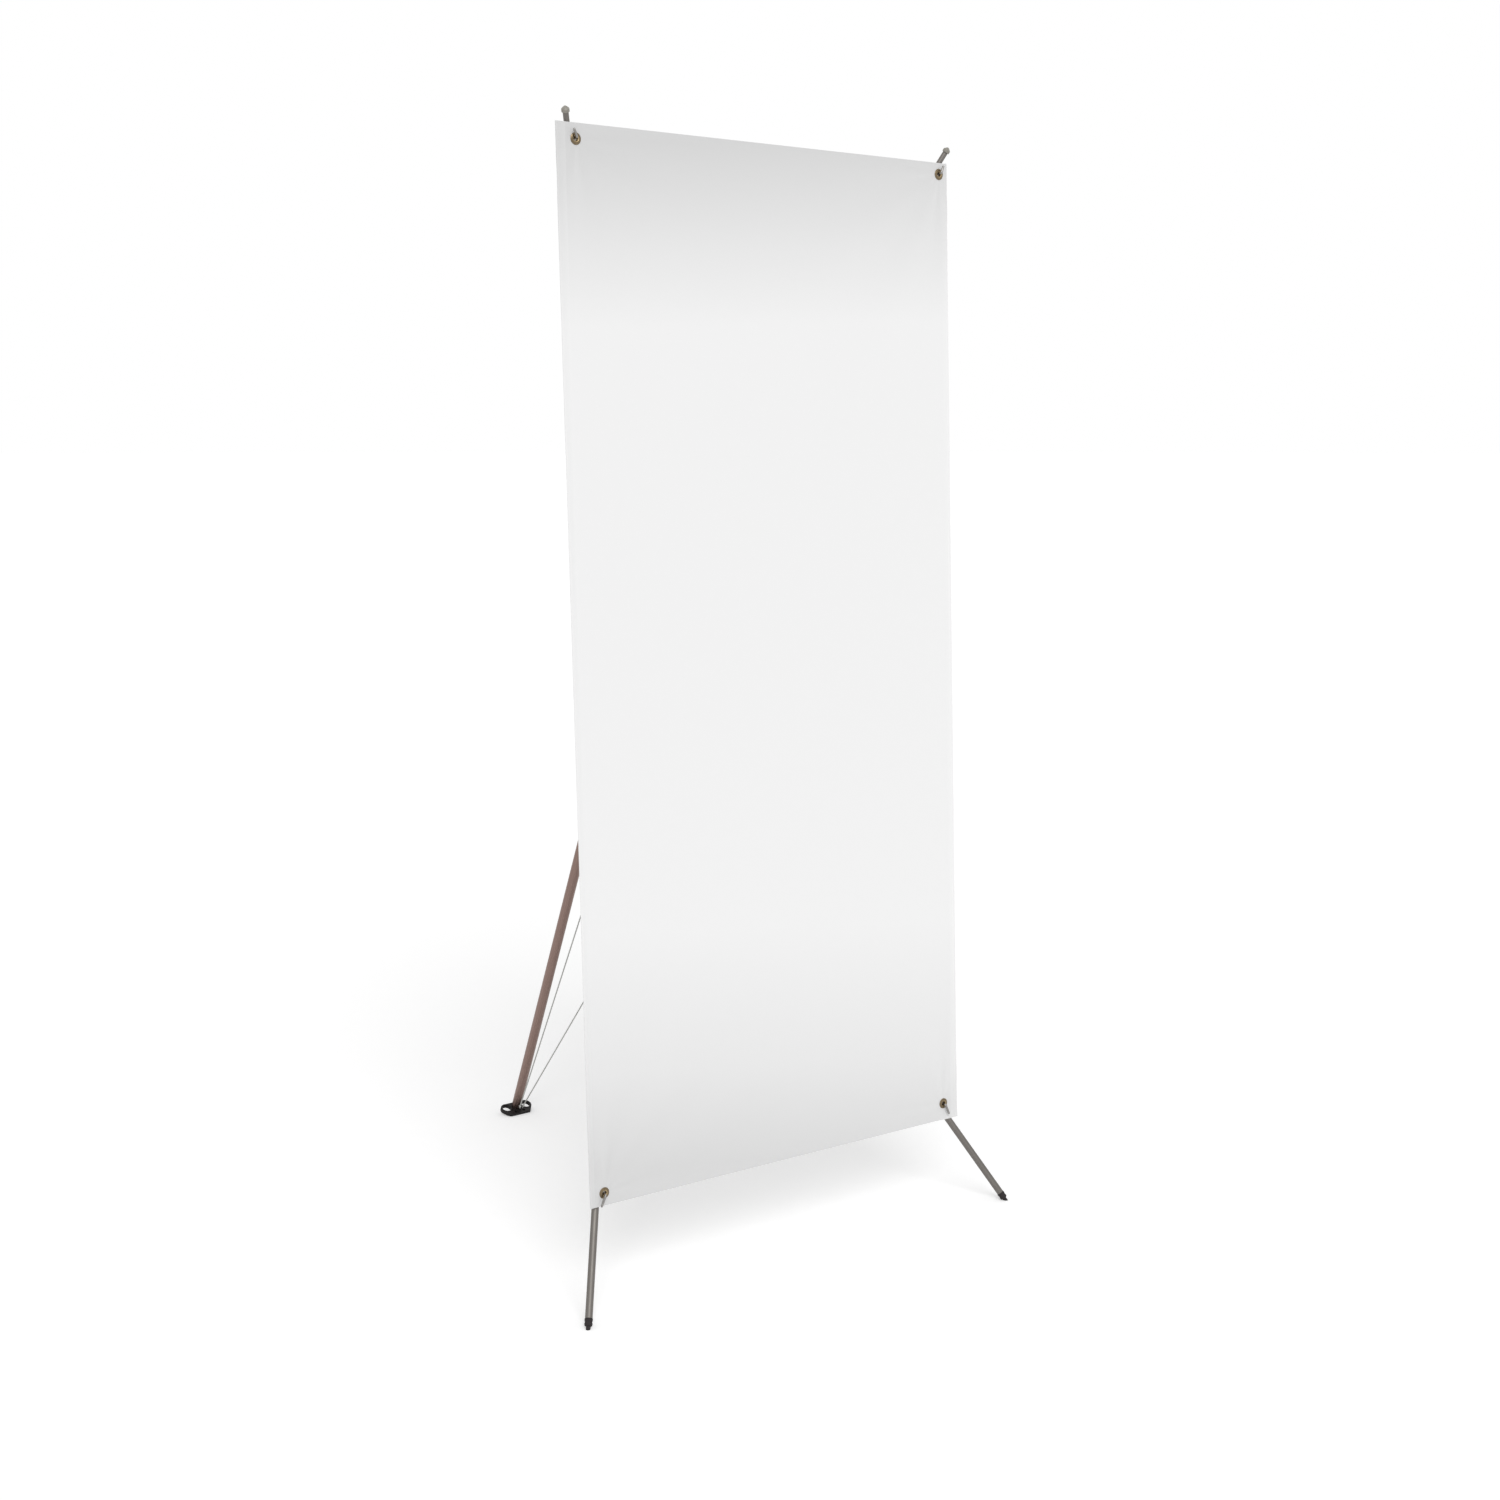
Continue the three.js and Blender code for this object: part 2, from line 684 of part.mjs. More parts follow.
const mast = groupAt(mastFrame);
mast.add(
  piece('mast', mastTube(), 'mastAluminium'),
  piece('mast_bolt', across(bolt(socketRadius, 1), mastBoltAt), 'zincSteel'),
  piece('mast_nut', across(nut(socketRadius, 1), mastBoltAt), 'zincSteel'),
  piece('rear_foot', rearFoot(), 'blackNylon'),
  piece('rear_foot_screw', footScrew(), 'zincSteel'),
);

const stand = new THREE.Group();
stand.add(hubMesh, mast, banner(), stayCord(-1), stayCord(1));
for (const member of [...arms, ...legs]) stand.add(member.group, member.hook);
stand.updateMatrixWorld(true);
const bounds = new THREE.Box3().setFromObject(stand, true);
const middle = bounds.getCenter(new THREE.Vector3());
stand.position.set(-middle.x, -middle.y, -bounds.min.z);

export default stand;
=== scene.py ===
import json
import math

import bmesh
import bpy
from mathutils import Matrix, Vector


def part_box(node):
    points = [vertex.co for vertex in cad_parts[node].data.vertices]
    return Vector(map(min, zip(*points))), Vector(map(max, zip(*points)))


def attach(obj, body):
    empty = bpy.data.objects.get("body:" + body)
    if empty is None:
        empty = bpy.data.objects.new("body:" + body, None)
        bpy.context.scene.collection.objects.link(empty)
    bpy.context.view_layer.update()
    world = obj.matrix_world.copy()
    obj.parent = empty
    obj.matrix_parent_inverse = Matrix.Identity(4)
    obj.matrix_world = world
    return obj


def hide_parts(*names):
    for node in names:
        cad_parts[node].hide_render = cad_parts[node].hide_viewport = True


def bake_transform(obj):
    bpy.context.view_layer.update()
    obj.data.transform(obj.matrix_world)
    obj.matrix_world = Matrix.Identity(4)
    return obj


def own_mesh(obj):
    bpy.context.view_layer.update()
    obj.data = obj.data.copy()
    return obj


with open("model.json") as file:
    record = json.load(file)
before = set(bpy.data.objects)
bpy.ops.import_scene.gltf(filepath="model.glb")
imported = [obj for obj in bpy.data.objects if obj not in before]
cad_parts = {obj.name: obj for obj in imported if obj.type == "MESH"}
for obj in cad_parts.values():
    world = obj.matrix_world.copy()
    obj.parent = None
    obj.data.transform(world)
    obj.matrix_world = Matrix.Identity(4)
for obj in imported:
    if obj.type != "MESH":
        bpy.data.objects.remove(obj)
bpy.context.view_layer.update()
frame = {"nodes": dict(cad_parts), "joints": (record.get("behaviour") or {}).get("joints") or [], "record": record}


# Hub: the block behind the banner where the mast, both legs and both arms meet.
# Black glass-filled nylon in one moulding: a round core, a socket for the mast and four pairs of ears
# that the members turn between. Its edges are softly rounded, as the mould leaves them.

MM = 0.001
round_sides = 48
hub_height = 1012
hub_behind_banner = 491
mast_setback = 449
core_radius = 21
core_pole = 87
socket_radius = 15.3
socket_length = 66
socket_rib_height = 0.8
socket_rib_width = 2.4
socket_ribs_at = (58, 63)
mast_hole = 10.3
mast_start = 14.7
mast_bolt_at = 44.88
ear_radius = 9
ear_in = 3.3
ear_out = 8.3
pivot_reach = 38
slot_radius = 8.1
slot_half = ear_in * 0.98
bolt_hole = 2.8
past = 4
hub_grid = 0.75
hub_softening = 5
soft_crease = 60

eyelet_low, eyelet_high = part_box("eyelet_lower_left")
eyelet_middle = (eyelet_low + eyelet_high) / 2
sheet_line = eyelet_middle.y
hub_at = Vector((0, sheet_line + hub_behind_banner * MM, hub_height * MM))
mast_down = Vector((0, mast_setback, -hub_height)).normalized()
rightward = Vector((1, 0, 0))


def placed(origin, along, across):
    """A piece's own frame: Z runs along it and X across it."""
    z = along.normalized()
    y = z.cross(across).normalized()
    return Matrix.Translation(origin) @ Matrix((y.cross(z), y, z)).transposed().to_4x4()


def shifted(x, y, z):
    return Matrix.Translation((x, y, z))


def quarter(axis):
    return Matrix.Rotation(math.pi / 2, 4, axis)


def turned(profile, closed=False):
    """Points and faces turned about Z from (radius, height) in mm, going up the outside.
    A third number makes that ring a polygon with so many flats."""
    points, rings, faces = [], [], []
    for radius, height, *flats in profile:
        ring = []
        for k in range(round_sides if radius else 1):
            angle = math.tau * k / round_sides
            reach = radius
            if flats:
                flat = math.tau / flats[0]
                reach *= math.cos(flat / 2) / math.cos(angle % flat - flat / 2)
            ring.append(len(points))
            points.append(Vector((reach * math.cos(angle), reach * math.sin(angle), height)))
        rings.append(ring)
    for low, high in zip(rings, rings[1:] + rings[:1] if closed else rings[1:]):
        for k in range(round_sides):
            face = [low[k % len(low)], low[(k + 1) % len(low)],
                    high[(k + 1) % len(high)], high[k % len(high)]]
            face = list(dict.fromkeys(face))
            if len(face) > 2:
                faces.append(face)
    return points, faces


def rod(radius, low, high):
    return turned([(0, low), (radius, low), (radius, high), (0, high)])


def slab(outline, low, high):
    """Points and faces of a plate: an outline in mm, drawn anticlockwise, between two heights."""
    n = len(outline)
    points = [Vector((x, y, z)) for z in (low, high) for x, y in outline]
    faces = [list(range(n))[::-1], list(range(n, 2 * n))]
    faces += [[k, (k + 1) % n, (k + 1) % n + n, k + n] for k in range(n)]
    return points, faces


def arc(centre, radius, start, end, steps=16):
    """Points of an arc in mm, from one angle to another in degrees."""
    angles = [math.radians(start + (end - start) * k / steps) for k in range(steps + 1)]
    return [(centre[0] + radius * math.cos(a), centre[1] + radius * math.sin(a)) for a in angles]


def laid(shape, place):
    """A shape's points moved by a matrix, still in mm."""
    points, faces = shape
    return [place @ p for p in points], faces


def mesh_of(*shapes):
    """One mesh in metres from shapes in mm. It gets its name from its piece."""
    points, faces = [], []
    for more_points, more_faces in shapes:
        start = len(points)
        points += [p * MM for p in more_points]
        faces += [[start + k for k in face] for face in more_faces]
    mesh = bpy.data.meshes.new("shape")
    mesh.from_pydata(points, [], faces)
    mesh.update()
    return mesh


def put(name, data):
    """A new object in the scene, whose data has its name."""
    data.name = name
    made = bpy.data.objects.new(name, data)
    bpy.context.scene.collection.objects.link(made)
    return made


def moulded(solids, cuts, grid, softening):
    """Solids joined and cut on a grid in mm, then smoothed so that every edge is rounded."""
    body, tool = [put("form", mesh_of(*shapes)) for shapes in (solids, cuts)]
    for part, kinds in ((tool, ["REMESH"]), (body, ["REMESH", "BOOLEAN", "REMESH", "SMOOTH"])):
        for kind in kinds:
            step = part.modifiers.new(kind, kind)
            if kind == "REMESH":
                step.mode = "VOXEL"
                step.voxel_size = grid * MM
            elif kind == "BOOLEAN":
                step.operation = "DIFFERENCE"
                step.solver = "EXACT"
                step.object = tool
            else:
                step.factor = 0.5
                step.iterations = softening
    bpy.context.view_layer.update()
    mesh = bpy.data.meshes.new_from_object(body.evaluated_get(bpy.context.evaluated_depsgraph_get()))
    for part in (body, tool):
        bpy.data.objects.remove(part)
    return mesh


def linear(colour):
    """An sRGB hex colour as the linear values that a shader takes."""
    shares = [int(colour[k:k + 2], 16) / 255 for k in (1, 3, 5)]
    return [s / 12.92 if s <= 0.04045 else ((s + 0.055) / 1.055) ** 2.4 for s in shares] + [1]


def feed(node, links):
    """Links outputs into a node's sockets. A node among them stands for the first output that it shows."""
    for key, source in dict(links).items():
        if isinstance(source, bpy.types.Node):
            source = next(output for output in source.outputs if output.enabled)
        node.id_data.links.new(source, node.inputs[key])


def add(tree, kind, settings=(), links=()):
    """A new node in a material, with its settings and the sockets that feed it."""
    made = tree.nodes.new("ShaderNode" + kind)
    for key, value in dict(settings).items():
        if isinstance(key, int) or key in made.inputs:
            made.inputs[key].default_value = value
        else:
            setattr(made, key, value)
    feed(made, links)
    return made


def finish(name, slot, **constants):
    """A new material with its shader's constants set, and the record's slot that it belongs to."""
    material = bpy.data.materials.new(name)
    material.use_nodes = True
    material["slot"] = slot
    tree = material.node_tree
    shader = tree.nodes["Principled BSDF"]
    for key, value in constants.items():
        shader.inputs[key.replace("_", " ")].default_value = value
    where = add(tree, "TexCoord")
    return material, tree, shader, where.outputs["Object"]


def clouded(tree, where, size, detail, dark, light):
    """Two tones that meet in soft clouds of so many mm."""
    clouds = add(tree, "TexNoise", {"Scale": 1 / (size * MM), "Detail": detail}, {"Vector": where})
    return add(tree, "Mix", {"data_type": "RGBA", "A": linear(dark), "B": linear(light)}, {"Factor": clouds})


# Black glass-filled nylon 6, injection moulded in a spark-eroded tool: a dull black with a fine even
# grain and a slight greyness on the edges, where handling has rubbed it. The grain is 0.3 mm in the real
# one and 0.7 mm here, so that it shows.
nylon_grain = 0.7
nylon_cloud = 14
nylon, tree, shader, where = finish("black_glass_filled_nylon", "black_nylon", Roughness=0.55, IOR=1.53,
                                   Specular_IOR_Level=0.25)
grain = add(tree, "TexNoise", {"Scale": 1 / (nylon_grain * MM), "Detail": 3.0}, {"Vector": where})
edges = add(tree, "NewGeometry")
worn = add(tree, "ValToRGB", {}, {"Fac": edges.outputs["Pointiness"]})
worn.color_ramp.elements[0].position = 0.52
worn.color_ramp.elements[1].position = 0.6
tone = clouded(tree, where, nylon_cloud, 2.0, "#100d0d", "#1b1717")
edge = add(tree, "Mix", {"data_type": "RGBA", "B": linear("#2e2a2a")}, {"Factor": worn, "A": tone})
bump = add(tree, "Bump", {"Strength": 0.35, "Distance": 0.12 * MM}, {"Height": grain})
feed(shader, {"Base Color": edge, "Normal": bump})

body_of = {node: body for body, nodes in frame["record"]["behaviour"]["bodies"].items() for node in nodes}


def dressed(name, mesh, place, material, crease=35):
    """A piece in its place and material, smooth except where it bends more than the crease."""
    made = put(name, mesh)
    made.matrix_world = place
    mesh.materials.append(material)
    mesh.shade_smooth()
    mesh.set_sharp_from_angle(angle=math.radians(crease))
    return made


def fitted(mesh, node, place, material, crease=35):
    """A finished piece in the place of one CAD node: it rides on that node's body and replaces it."""
    made = dressed(f"{node}_fine", mesh, place, material, crease)
    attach(made, body_of[node])
    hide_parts(node)
    return made


mast_frame = placed(hub_at, mast_down, rightward)
member_frames = {}
for joint in frame["joints"]:
    if joint["type"] == "hinge":
        pivot = Vector(joint["pos_m"])
        member_frames[joint["child"]] = placed(hub_at, pivot - hub_at, Vector(joint["axis"]))

# Stands a shape that was drawn across and along a member so that its thickness runs along the hinge
to_hinge = Matrix(((0, 0, 1), (1, 0, 0), (0, 1, 0))).to_4x4()


def hinge_rod(radius, low, high, height):
    """A rod laid along a member's hinge, at a height along the member."""
    return laid(rod(radius, low, high), shifted(0, 0, height) @ quarter("Y"))


def to_hub(place):
    """A member's frame seen from the hub, for shapes in mm."""
    seen = place.copy()
    seen.translation = (place.translation - hub_at) / MM
    return seen


mast_seen = to_hub(mast_frame)
core = [(0, -core_radius), *arc((0, 0), core_radius, -core_pole, core_pole, 40), (0, core_radius)]
solids = [turned(core), laid(rod(socket_radius, 0, socket_length), mast_seen)]
cuts = [laid(rod(mast_hole, mast_start, socket_length + past), mast_seen),
        laid(hinge_rod(bolt_hole, -socket_radius - past, socket_radius + past, mast_bolt_at), mast_seen)]
for at in socket_ribs_at:
    rib = rod(socket_radius + socket_rib_height, at - socket_rib_width / 2, at + socket_rib_width / 2)
    solids.append(laid(rib, mast_seen))
for place in member_frames.values():
    outline = [(ear_radius, 0)] + arc((0, pivot_reach), ear_radius, 0, 180) + [(-ear_radius, 0)]
    for low, high in ((ear_in, ear_out), (-ear_out, -ear_in)):
        solids.append(laid(slab(outline, low, high), to_hub(place) @ to_hinge))
    cuts.append(laid(hinge_rod(slot_radius, -slot_half, slot_half, pivot_reach), to_hub(place)))
    cuts.append(laid(hinge_rod(bolt_hole, -ear_out - past, ear_out + past, pivot_reach), to_hub(place)))
hub_mesh = moulded(solids, cuts, hub_grid, hub_softening)
fitted(hub_mesh, "hub", Matrix.Translation(hub_at), nylon, soft_crease)


# Mast: one drawn aluminium tube, 20 mm across with a 1.2 mm wall, plugged into the hub's socket.
# Anodised in a brown grey. Its ends are chamfered where the saw burr was taken off.

mast_radius = 10
mast_wall = 1.2
saw_chamfer = 0.35
longest_ease = 0.45


def measured(node, place):
    """Lowest and highest corner of a CAD node in a piece's own frame, in mm."""
    back = place.inverted()
    points = [back @ v.co / MM for v in frame["nodes"][node].data.vertices]
    return [Vector([pick(p[k] for p in points) for k in range(3)]) for pick in (min, max)]


def bend(start, corner, stop, steps):
    """Points of a curve from start to stop that keeps inside the corner."""
    shares = [k / steps for k in range(steps + 1)]
    return [start.lerp(corner, s).lerp(corner.lerp(stop, s), s) for s in shares]


def eased(profile, ease, closed=False, steps=4):
    """A turned profile with each corner eased by a small curve of so many mm."""
    corners = []
    for k, at in enumerate(profile):
        before, after = profile[k - 1], profile[(k + 1) % len(profile)]
        end = not closed and k in (0, len(profile) - 1)
        if end or max(len(at), len(before), len(after)) > 2:
            corners.append(at)
            continue
        here = Vector(at)
        back, on = Vector(before) - here, Vector(after) - here
        length = min(ease, back.length * longest_ease, on.length * longest_ease)
        start, stop = here + back.normalized() * length, here + on.normalized() * length
        corners += [tuple(point) for point in bend(start, here, stop, steps)]
    return corners


def hoop(bore, outer, low, high, ease=0, steps=4):
    """A ring or a tube, its edges sharp or eased by so many mm."""
    section = [(bore, low), (outer, low), (outer, high), (bore, high)]
    return turned(eased(section, ease, True, steps) if ease else section, True)


def fit_tube(node, place, radius, wall, metal):
    """A drawn tube in the place of its CAD node. Gives the height of its far end, in mm."""
    low, high = measured(node, place)
    shape = hoop(radius - wall, radius, low.z, high.z, saw_chamfer, 2)
    fitted(mesh_of(shape), node, place, metal)
    return high.z


# Drawn aluminium tube: a satin metal whose die lines run along it, faint and close, with duller patches
# where hands have been. The lines are under 0.1 mm apart in the real one and about 0.9 mm here, so that
# they show.
line_spacing = 0.9
line_length = 220
handled_patch = 45


def drawn_metal(name, slot, light, dark, roughness):
    material, tree, shader, where = finish(name, slot, Metallic=1.0, Roughness=roughness)
    scale = [1 / (size * MM) for size in (line_spacing, line_spacing, line_length)]
    lines = add(tree, "Mapping", {"Scale": scale}, {"Vector": where})
    drawn = add(tree, "TexNoise", {"Scale": 1.0, "Detail": 3.0, "Roughness": 0.6}, {"Vector": lines})
    handled = add(tree, "TexNoise", {"Scale": 1 / (handled_patch * MM), "Detail": 4.0}, {"Vector": where})
    tone = add(tree, "Mix", {"data_type": "RGBA", "A": linear(dark), "B": linear(light)}, {"Factor": drawn})
    wear_and_painted_highlight = add(tree, "MapRange", {"To Min": roughness - 0.08, "To Max": roughness + 0.1},
                 {"Value": handled})
    bump = add(tree, "Bump", {"Strength": 0.18, "Distance": 0.05 * MM}, {"Height": drawn})
    feed(shader, {"Base Color": tone, "Roughness": wear_and_painted_highlight, "Normal": bump})
    return material


mast_metal = drawn_metal("brown_grey_anodised_aluminium", "mast_aluminium", "#9c857d", "#76625b", 0.42)
mast_end = fit_tube("mast", mast_frame, mast_radius, mast_wall, mast_metal)


# Mast bolt and nut: a button-head bolt through the socket and the mast, with a plain hexagon nut.
# Zinc-plated steel; the head is domed with a hexagon recess, and the thread's end stands out of the nut.

bolt_radius = 2.5
head_radius = 4.6
head_height = 2.8
head_edge = 0.2
head_rim = 0.6
dome_angles = range(0, 80, 10)
key_radius = 1.6
key_depth = 1.5
key_lead = 0.25
key_lead_depth = 0.15
key_point = 0.3
nut_radius = 4.6
nut_height = 3.6
nut_chamfer = 0.5
nut_lead = 0.3
thread_proud = 1.2
thread_pitch = 0.5
thread_depth = 0.28
play = 0.3


def domed_head(radius, height, seat, flat):
    """A head's outside from its seat up: a low rim, then a dome towards a flat of so much radius."""
    rim = [(radius - head_edge, seat), (radius, seat + head_edge)]
    return rim + [(flat + (radius - flat) * math.cos(math.radians(a)),
                   seat + head_rim + (height - head_rim) * math.sin(math.radians(a))) for a in dome_angles]


def bolt(half):
    """A button-head bolt along Z through something so thick to each side, with its head on top."""
    seat = half + play
    end = seat + nut_height + thread_proud
    profile = [(0, -end), (bolt_radius - 2 * thread_depth, -end)]
    at = -end + thread_pitch / 2
    while at < -seat:
        profile += [(bolt_radius, at), (bolt_radius - thread_depth, at + thread_pitch / 2)]
        at += thread_pitch
    top = seat + head_height
    profile += [(bolt_radius, at), (bolt_radius, seat)]
    profile += domed_head(head_radius, head_height, seat, key_radius)
    profile += [(key_radius + key_lead, top, 6), (key_radius, top - key_lead_depth, 6),
                (key_radius, top - key_depth, 6), (0, top - key_depth - key_point)]
    return turned(profile)


def nut(half):
    """A hexagon nut on the far side, its corners turned off at both faces."""
    low, high = -half - play - nut_height, -half - play
    hole = bolt_radius + play / 2
    face = nut_radius * math.cos(math.pi / 6)
    return turned([(hole, low + nut_lead), (hole + nut_lead, low), (face, low),
                   (nut_radius, low + nut_chamfer, 6), (nut_radius, high - nut_chamfer, 6),
                   (face, high), (hole + nut_lead, high), (hole, high - nut_lead)], True)


# Zinc-plated steel, barrel plated and passivated clear: a plain mid grey with a cloudy spangle.
# The spangle is under 1 mm across in the real one and 1.6 mm here, so that it shows.
spangle_size = 1.6
film_size = 5
zinc, tree, shader, where = finish("clear_zinc_plated_steel", "zinc_steel", Metallic=1.0, Roughness=0.3)
spangle = add(tree, "TexVoronoi", {"Scale": 1 / (spangle_size * MM)}, {"Vector": where})
tone = clouded(tree, where, film_size, 3.0, "#7b7977", "#a09d9a")
dulled = add(tree, "MapRange", {"To Min": 0.24, "To Max": 0.4}, {"Value": spangle.outputs["Color"]})
feed(shader, {"Base Color": tone, "Roughness": dulled})

across_mast = mast_frame @ shifted(0, 0, mast_bolt_at * MM) @ quarter("Y")
fitted(mesh_of(bolt(socket_radius)), "mast_bolt", across_mast, zinc)
fitted(mesh_of(nut(socket_radius)), "mast_nut", across_mast, zinc)


# Rear foot: a black plate square to the mast, with two large rings, two small holes at its front and a
# lug for the cords. Moulded nylon; its stub plugs into the mast, held by a screw, and its cut front edge
# stands on the floor.

plate_thickness = 8
plate_front = 23
plate_front_half = 22
plate_corner = 2.5
ring_spacing = 23.5
ring_radius = 13
ring_hole = 9.8
ring_rim = 2
ring_rim_height = 0.8
ring_rim_root = 1
peg_hole = 3.2
peg_at = (9.5, 16)
stub_length = 36
lug_forward = 17
lug_height = 8
lug_radius = 4.2
lug_half = 2
lug_hole = 1.9
screw_radius = 2
screw_up = 18
foot_grid = 0.55
foot_softening = 3

plate_top = mast_end + play
corner_at = (plate_front_half, plate_front - plate_corner)
slope = math.degrees(math.atan2(corner_at[1], corner_at[0] - ring_spacing))
span = math.hypot(corner_at[1], corner_at[0] - ring_spacing)
lean = slope - math.degrees(math.acos((ring_radius - plate_corner) / span))
outline = arc((ring_spacing, 0), ring_radius, -90, lean, 24) + arc(corner_at, plate_corner, lean, 90, 8)
outline += [(-x, y) for x, y in outline[::-1]]
eye = (lug_forward, plate_top - lug_height)
lug_root = plate_top + plate_thickness / 2
lug_outline = [(lug_forward + lug_radius, lug_root), (lug_forward - lug_radius, lug_root),
               *arc(eye, lug_radius, 180, 360)]
screw_at = mast_end - screw_up
solids = [slab(outline, plate_top, plate_top + plate_thickness),
          rod(mast_radius - mast_wall - play, mast_end - stub_length, plate_top + plate_thickness - play),
          rod(mast_radius, plate_top - play / 2, lug_root),
          laid(slab(lug_outline[::-1], -lug_half, lug_half), to_hinge)]
cuts = [laid(rod(screw_radius + play, 0, mast_radius + past), shifted(0, 0, screw_at) @ quarter("X")),
        laid(hinge_rod(lug_hole, -lug_half - past, lug_half + past, 0), shifted(0, *eye))]
rim = hoop(ring_hole, ring_hole + ring_rim, plate_top - ring_rim_height, plate_top + ring_rim_root)
for side in (-1, 1):
    solids.append(laid(rim, shifted(side * ring_spacing, 0, 0)))
    for hole, x, y in ((ring_hole, ring_spacing, 0), (peg_hole, *peg_at)):
        cuts.append(laid(rod(hole, plate_top - past, lug_root + past), shifted(side * x, y, 0)))


def cut_at_floor(mesh, place):
    """What stands below the floor is cut off, and the cut is closed flat."""
    form = bmesh.new()
    form.from_mesh(mesh)
    form.transform(place)
    everything = form.verts[:] + form.edges[:] + form.faces[:]
    cut = bmesh.ops.bisect_plane(form, geom=everything, plane_co=(0, 0, 0), plane_no=(0, 0, 1),
                                 clear_inner=True)
    rim = [e for e in cut["geom_cut"] if isinstance(e, bmesh.types.BMEdge)]
    bmesh.ops.holes_fill(form, edges=rim)
    form.transform(place.inverted())
    form.to_mesh(mesh)
    form.free()
    return mesh


foot_mesh = cut_at_floor(moulded(solids, cuts, foot_grid, foot_softening), mast_frame)
fitted(foot_mesh, "rear_foot", mast_frame, nylon, soft_crease)

screw_head_radius = 3.8
screw_head_height = 2.2
drive_radius = key_radius * 0.8
drive_floor_radius = key_radius * 0.6
drive_lead = 0.2
drive_floor = 0.9
drive_point = 0.7
head_at = mast_radius + play
head_top = head_at + screw_head_height
screw = turned([(0, play), (screw_radius, play), (screw_radius, head_at),
                *domed_head(screw_head_radius, screw_head_height, head_at, 0),
                (drive_radius + drive_lead, head_top, 4), (drive_radius, head_top - drive_lead, 4),
                (drive_floor_radius, head_at + drive_floor, 4), (0, head_at + drive_point)])
screw_frame = mast_frame @ shifted(0, 0, screw_at * MM) @ quarter("X")
fitted(mesh_of(screw), "rear_foot_screw", screw_frame, zinc)


# Legs: two drawn aluminium tubes, 12.7 mm across, that turn on bolts between the hub's ears.
# Each has a nylon knuckle plugged into its top, a rubber foot on its end, and a clip with a wire hook for
# the banner's lower eyelet.

leg_radius = 6.35
leg_wall = 1
tongue_radius = 7.5
tongue_half = 3
collar = 5
collar_ease = 0.6
collar_start = pivot_reach + ear_radius + 2 * play
plug_length = 24
knuckle_grid = 0.45
knuckle_softening = 3
clip_length = 13
clip_wall = 2.2
clip_lip = 0.7
clip_grid = 0.45
clip_softening = 2
bead_proud = 0.5
bead_depth = 1
bead_half = 0.6
bead_root_half = 1.1
boss_radius = 3.8
boss_reach = 4.5
boss_step = 0.6
wire_radius = 2
hook_bend = 3
banner_half = 0.3
eyelet_bore = 4
flange_thickness = 0.8
stop_radius = 7
stop_thickness = 2
stop_behind = 1.8
stop_ease = 0.6
leg_hook_tail = 22
leg_behind = 23
foot_flange = 7
foot_flange_height = 12.5
foot_groove = 0.8
foot_nose = 3.9
foot_nose_length = 5
soft_ease = 0.9
soft_part_crease = 50
forward = Vector((0, -1, 0))

satin_metal = drawn_metal("satin_drawn_aluminium", "satin_aluminium", "#84807c", "#67635f", 0.5)

# Moulded rubber, a soft black thermoplastic elastomer: dull, with a fine pebbled skin and a little floor
# dust. The pebbles are 0.4 mm in the real one and 0.8 mm here, so that they show.
pebble_size = 0.8
dust_size = 4
rubber, tree, shader, where = finish("moulded_black_rubber", "black_rubber", Roughness=0.75, IOR=1.52,
                                    Specular_IOR_Level=0.35)
pebbles = add(tree, "TexVoronoi", {"Scale": 1 / (pebble_size * MM)}, {"Vector": where})
tone = clouded(tree, where, dust_size, 4.0, "#1c1819", "#302a2b")
bump = add(tree, "Bump", {"Strength": 0.4, "Distance": 0.12 * MM}, {"Height": pebbles.outputs["Distance"]})
feed(shader, {"Base Color": tone, "Normal": bump})


def knuckle(outer, wall):
    """The tongue that turns between the ears, a collar that meets the tube, and a plug in the tube."""
    collar_middle, collar_end = collar_start + collar / 2, collar_start + collar
    outline = [*arc((0, pivot_reach), tongue_radius, 180, 360, 20), (outer, collar_start),
               (outer, collar_middle), (-outer, collar_middle), (-outer, collar_start)]
    ring = [(0, collar_start), (outer, collar_start), (outer, collar_end), (0, collar_end)]
    solids = [laid(slab(outline, -tongue_half, tongue_half), to_hinge), turned(eased(ring, collar_ease)),
              rod(outer - wall - play, collar_start, collar_end + play + plug_length)]
    cuts = [hinge_rod(bolt_hole, -outer - past, outer + past, pivot_reach)]
    return moulded(solids, cuts, knuckle_grid, knuckle_softening)


def pivot_pieces(kind, name, radius, wall, flipped=False):
    """A member's knuckle and the bolt and nut that it turns on. Flipped, the bolt goes in the other way."""
    place = member_frames[f"{kind}_{name}"]
    across = place @ shifted(0, 0, pivot_reach * MM) @ quarter("Y")
    if flipped:
        across = across @ Matrix.Rotation(math.pi, 4, "X")
    fitted(knuckle(radius, wall), f"{kind}_knuckle_{name}", place, nylon, soft_crease)
    fitted(mesh_of(bolt(ear_out)), f"{kind}_pivot_bolt_{name}", across, zinc)
    fitted(mesh_of(nut(ear_out)), f"{kind}_pivot_nut_{name}", across, zinc)
    return place


def end_plug(radius, wall, end):
    """The part of an end piece that plugs into its tube, for a turned profile."""
    plug = radius - wall - play
    return [(0, end - plug_length / 2), (plug, end - plug_length / 2), (plug, end + play)]


def clip_ring(radius, at):
    """The ring of a clip round its member, and the bore that is cut through it."""
    bore = radius + play
    ring = hoop(bore, bore + clip_wall, at - clip_length / 2, at + clip_length / 2, clip_lip)
    return ring, rod(bore, at - clip_length, at + clip_length)


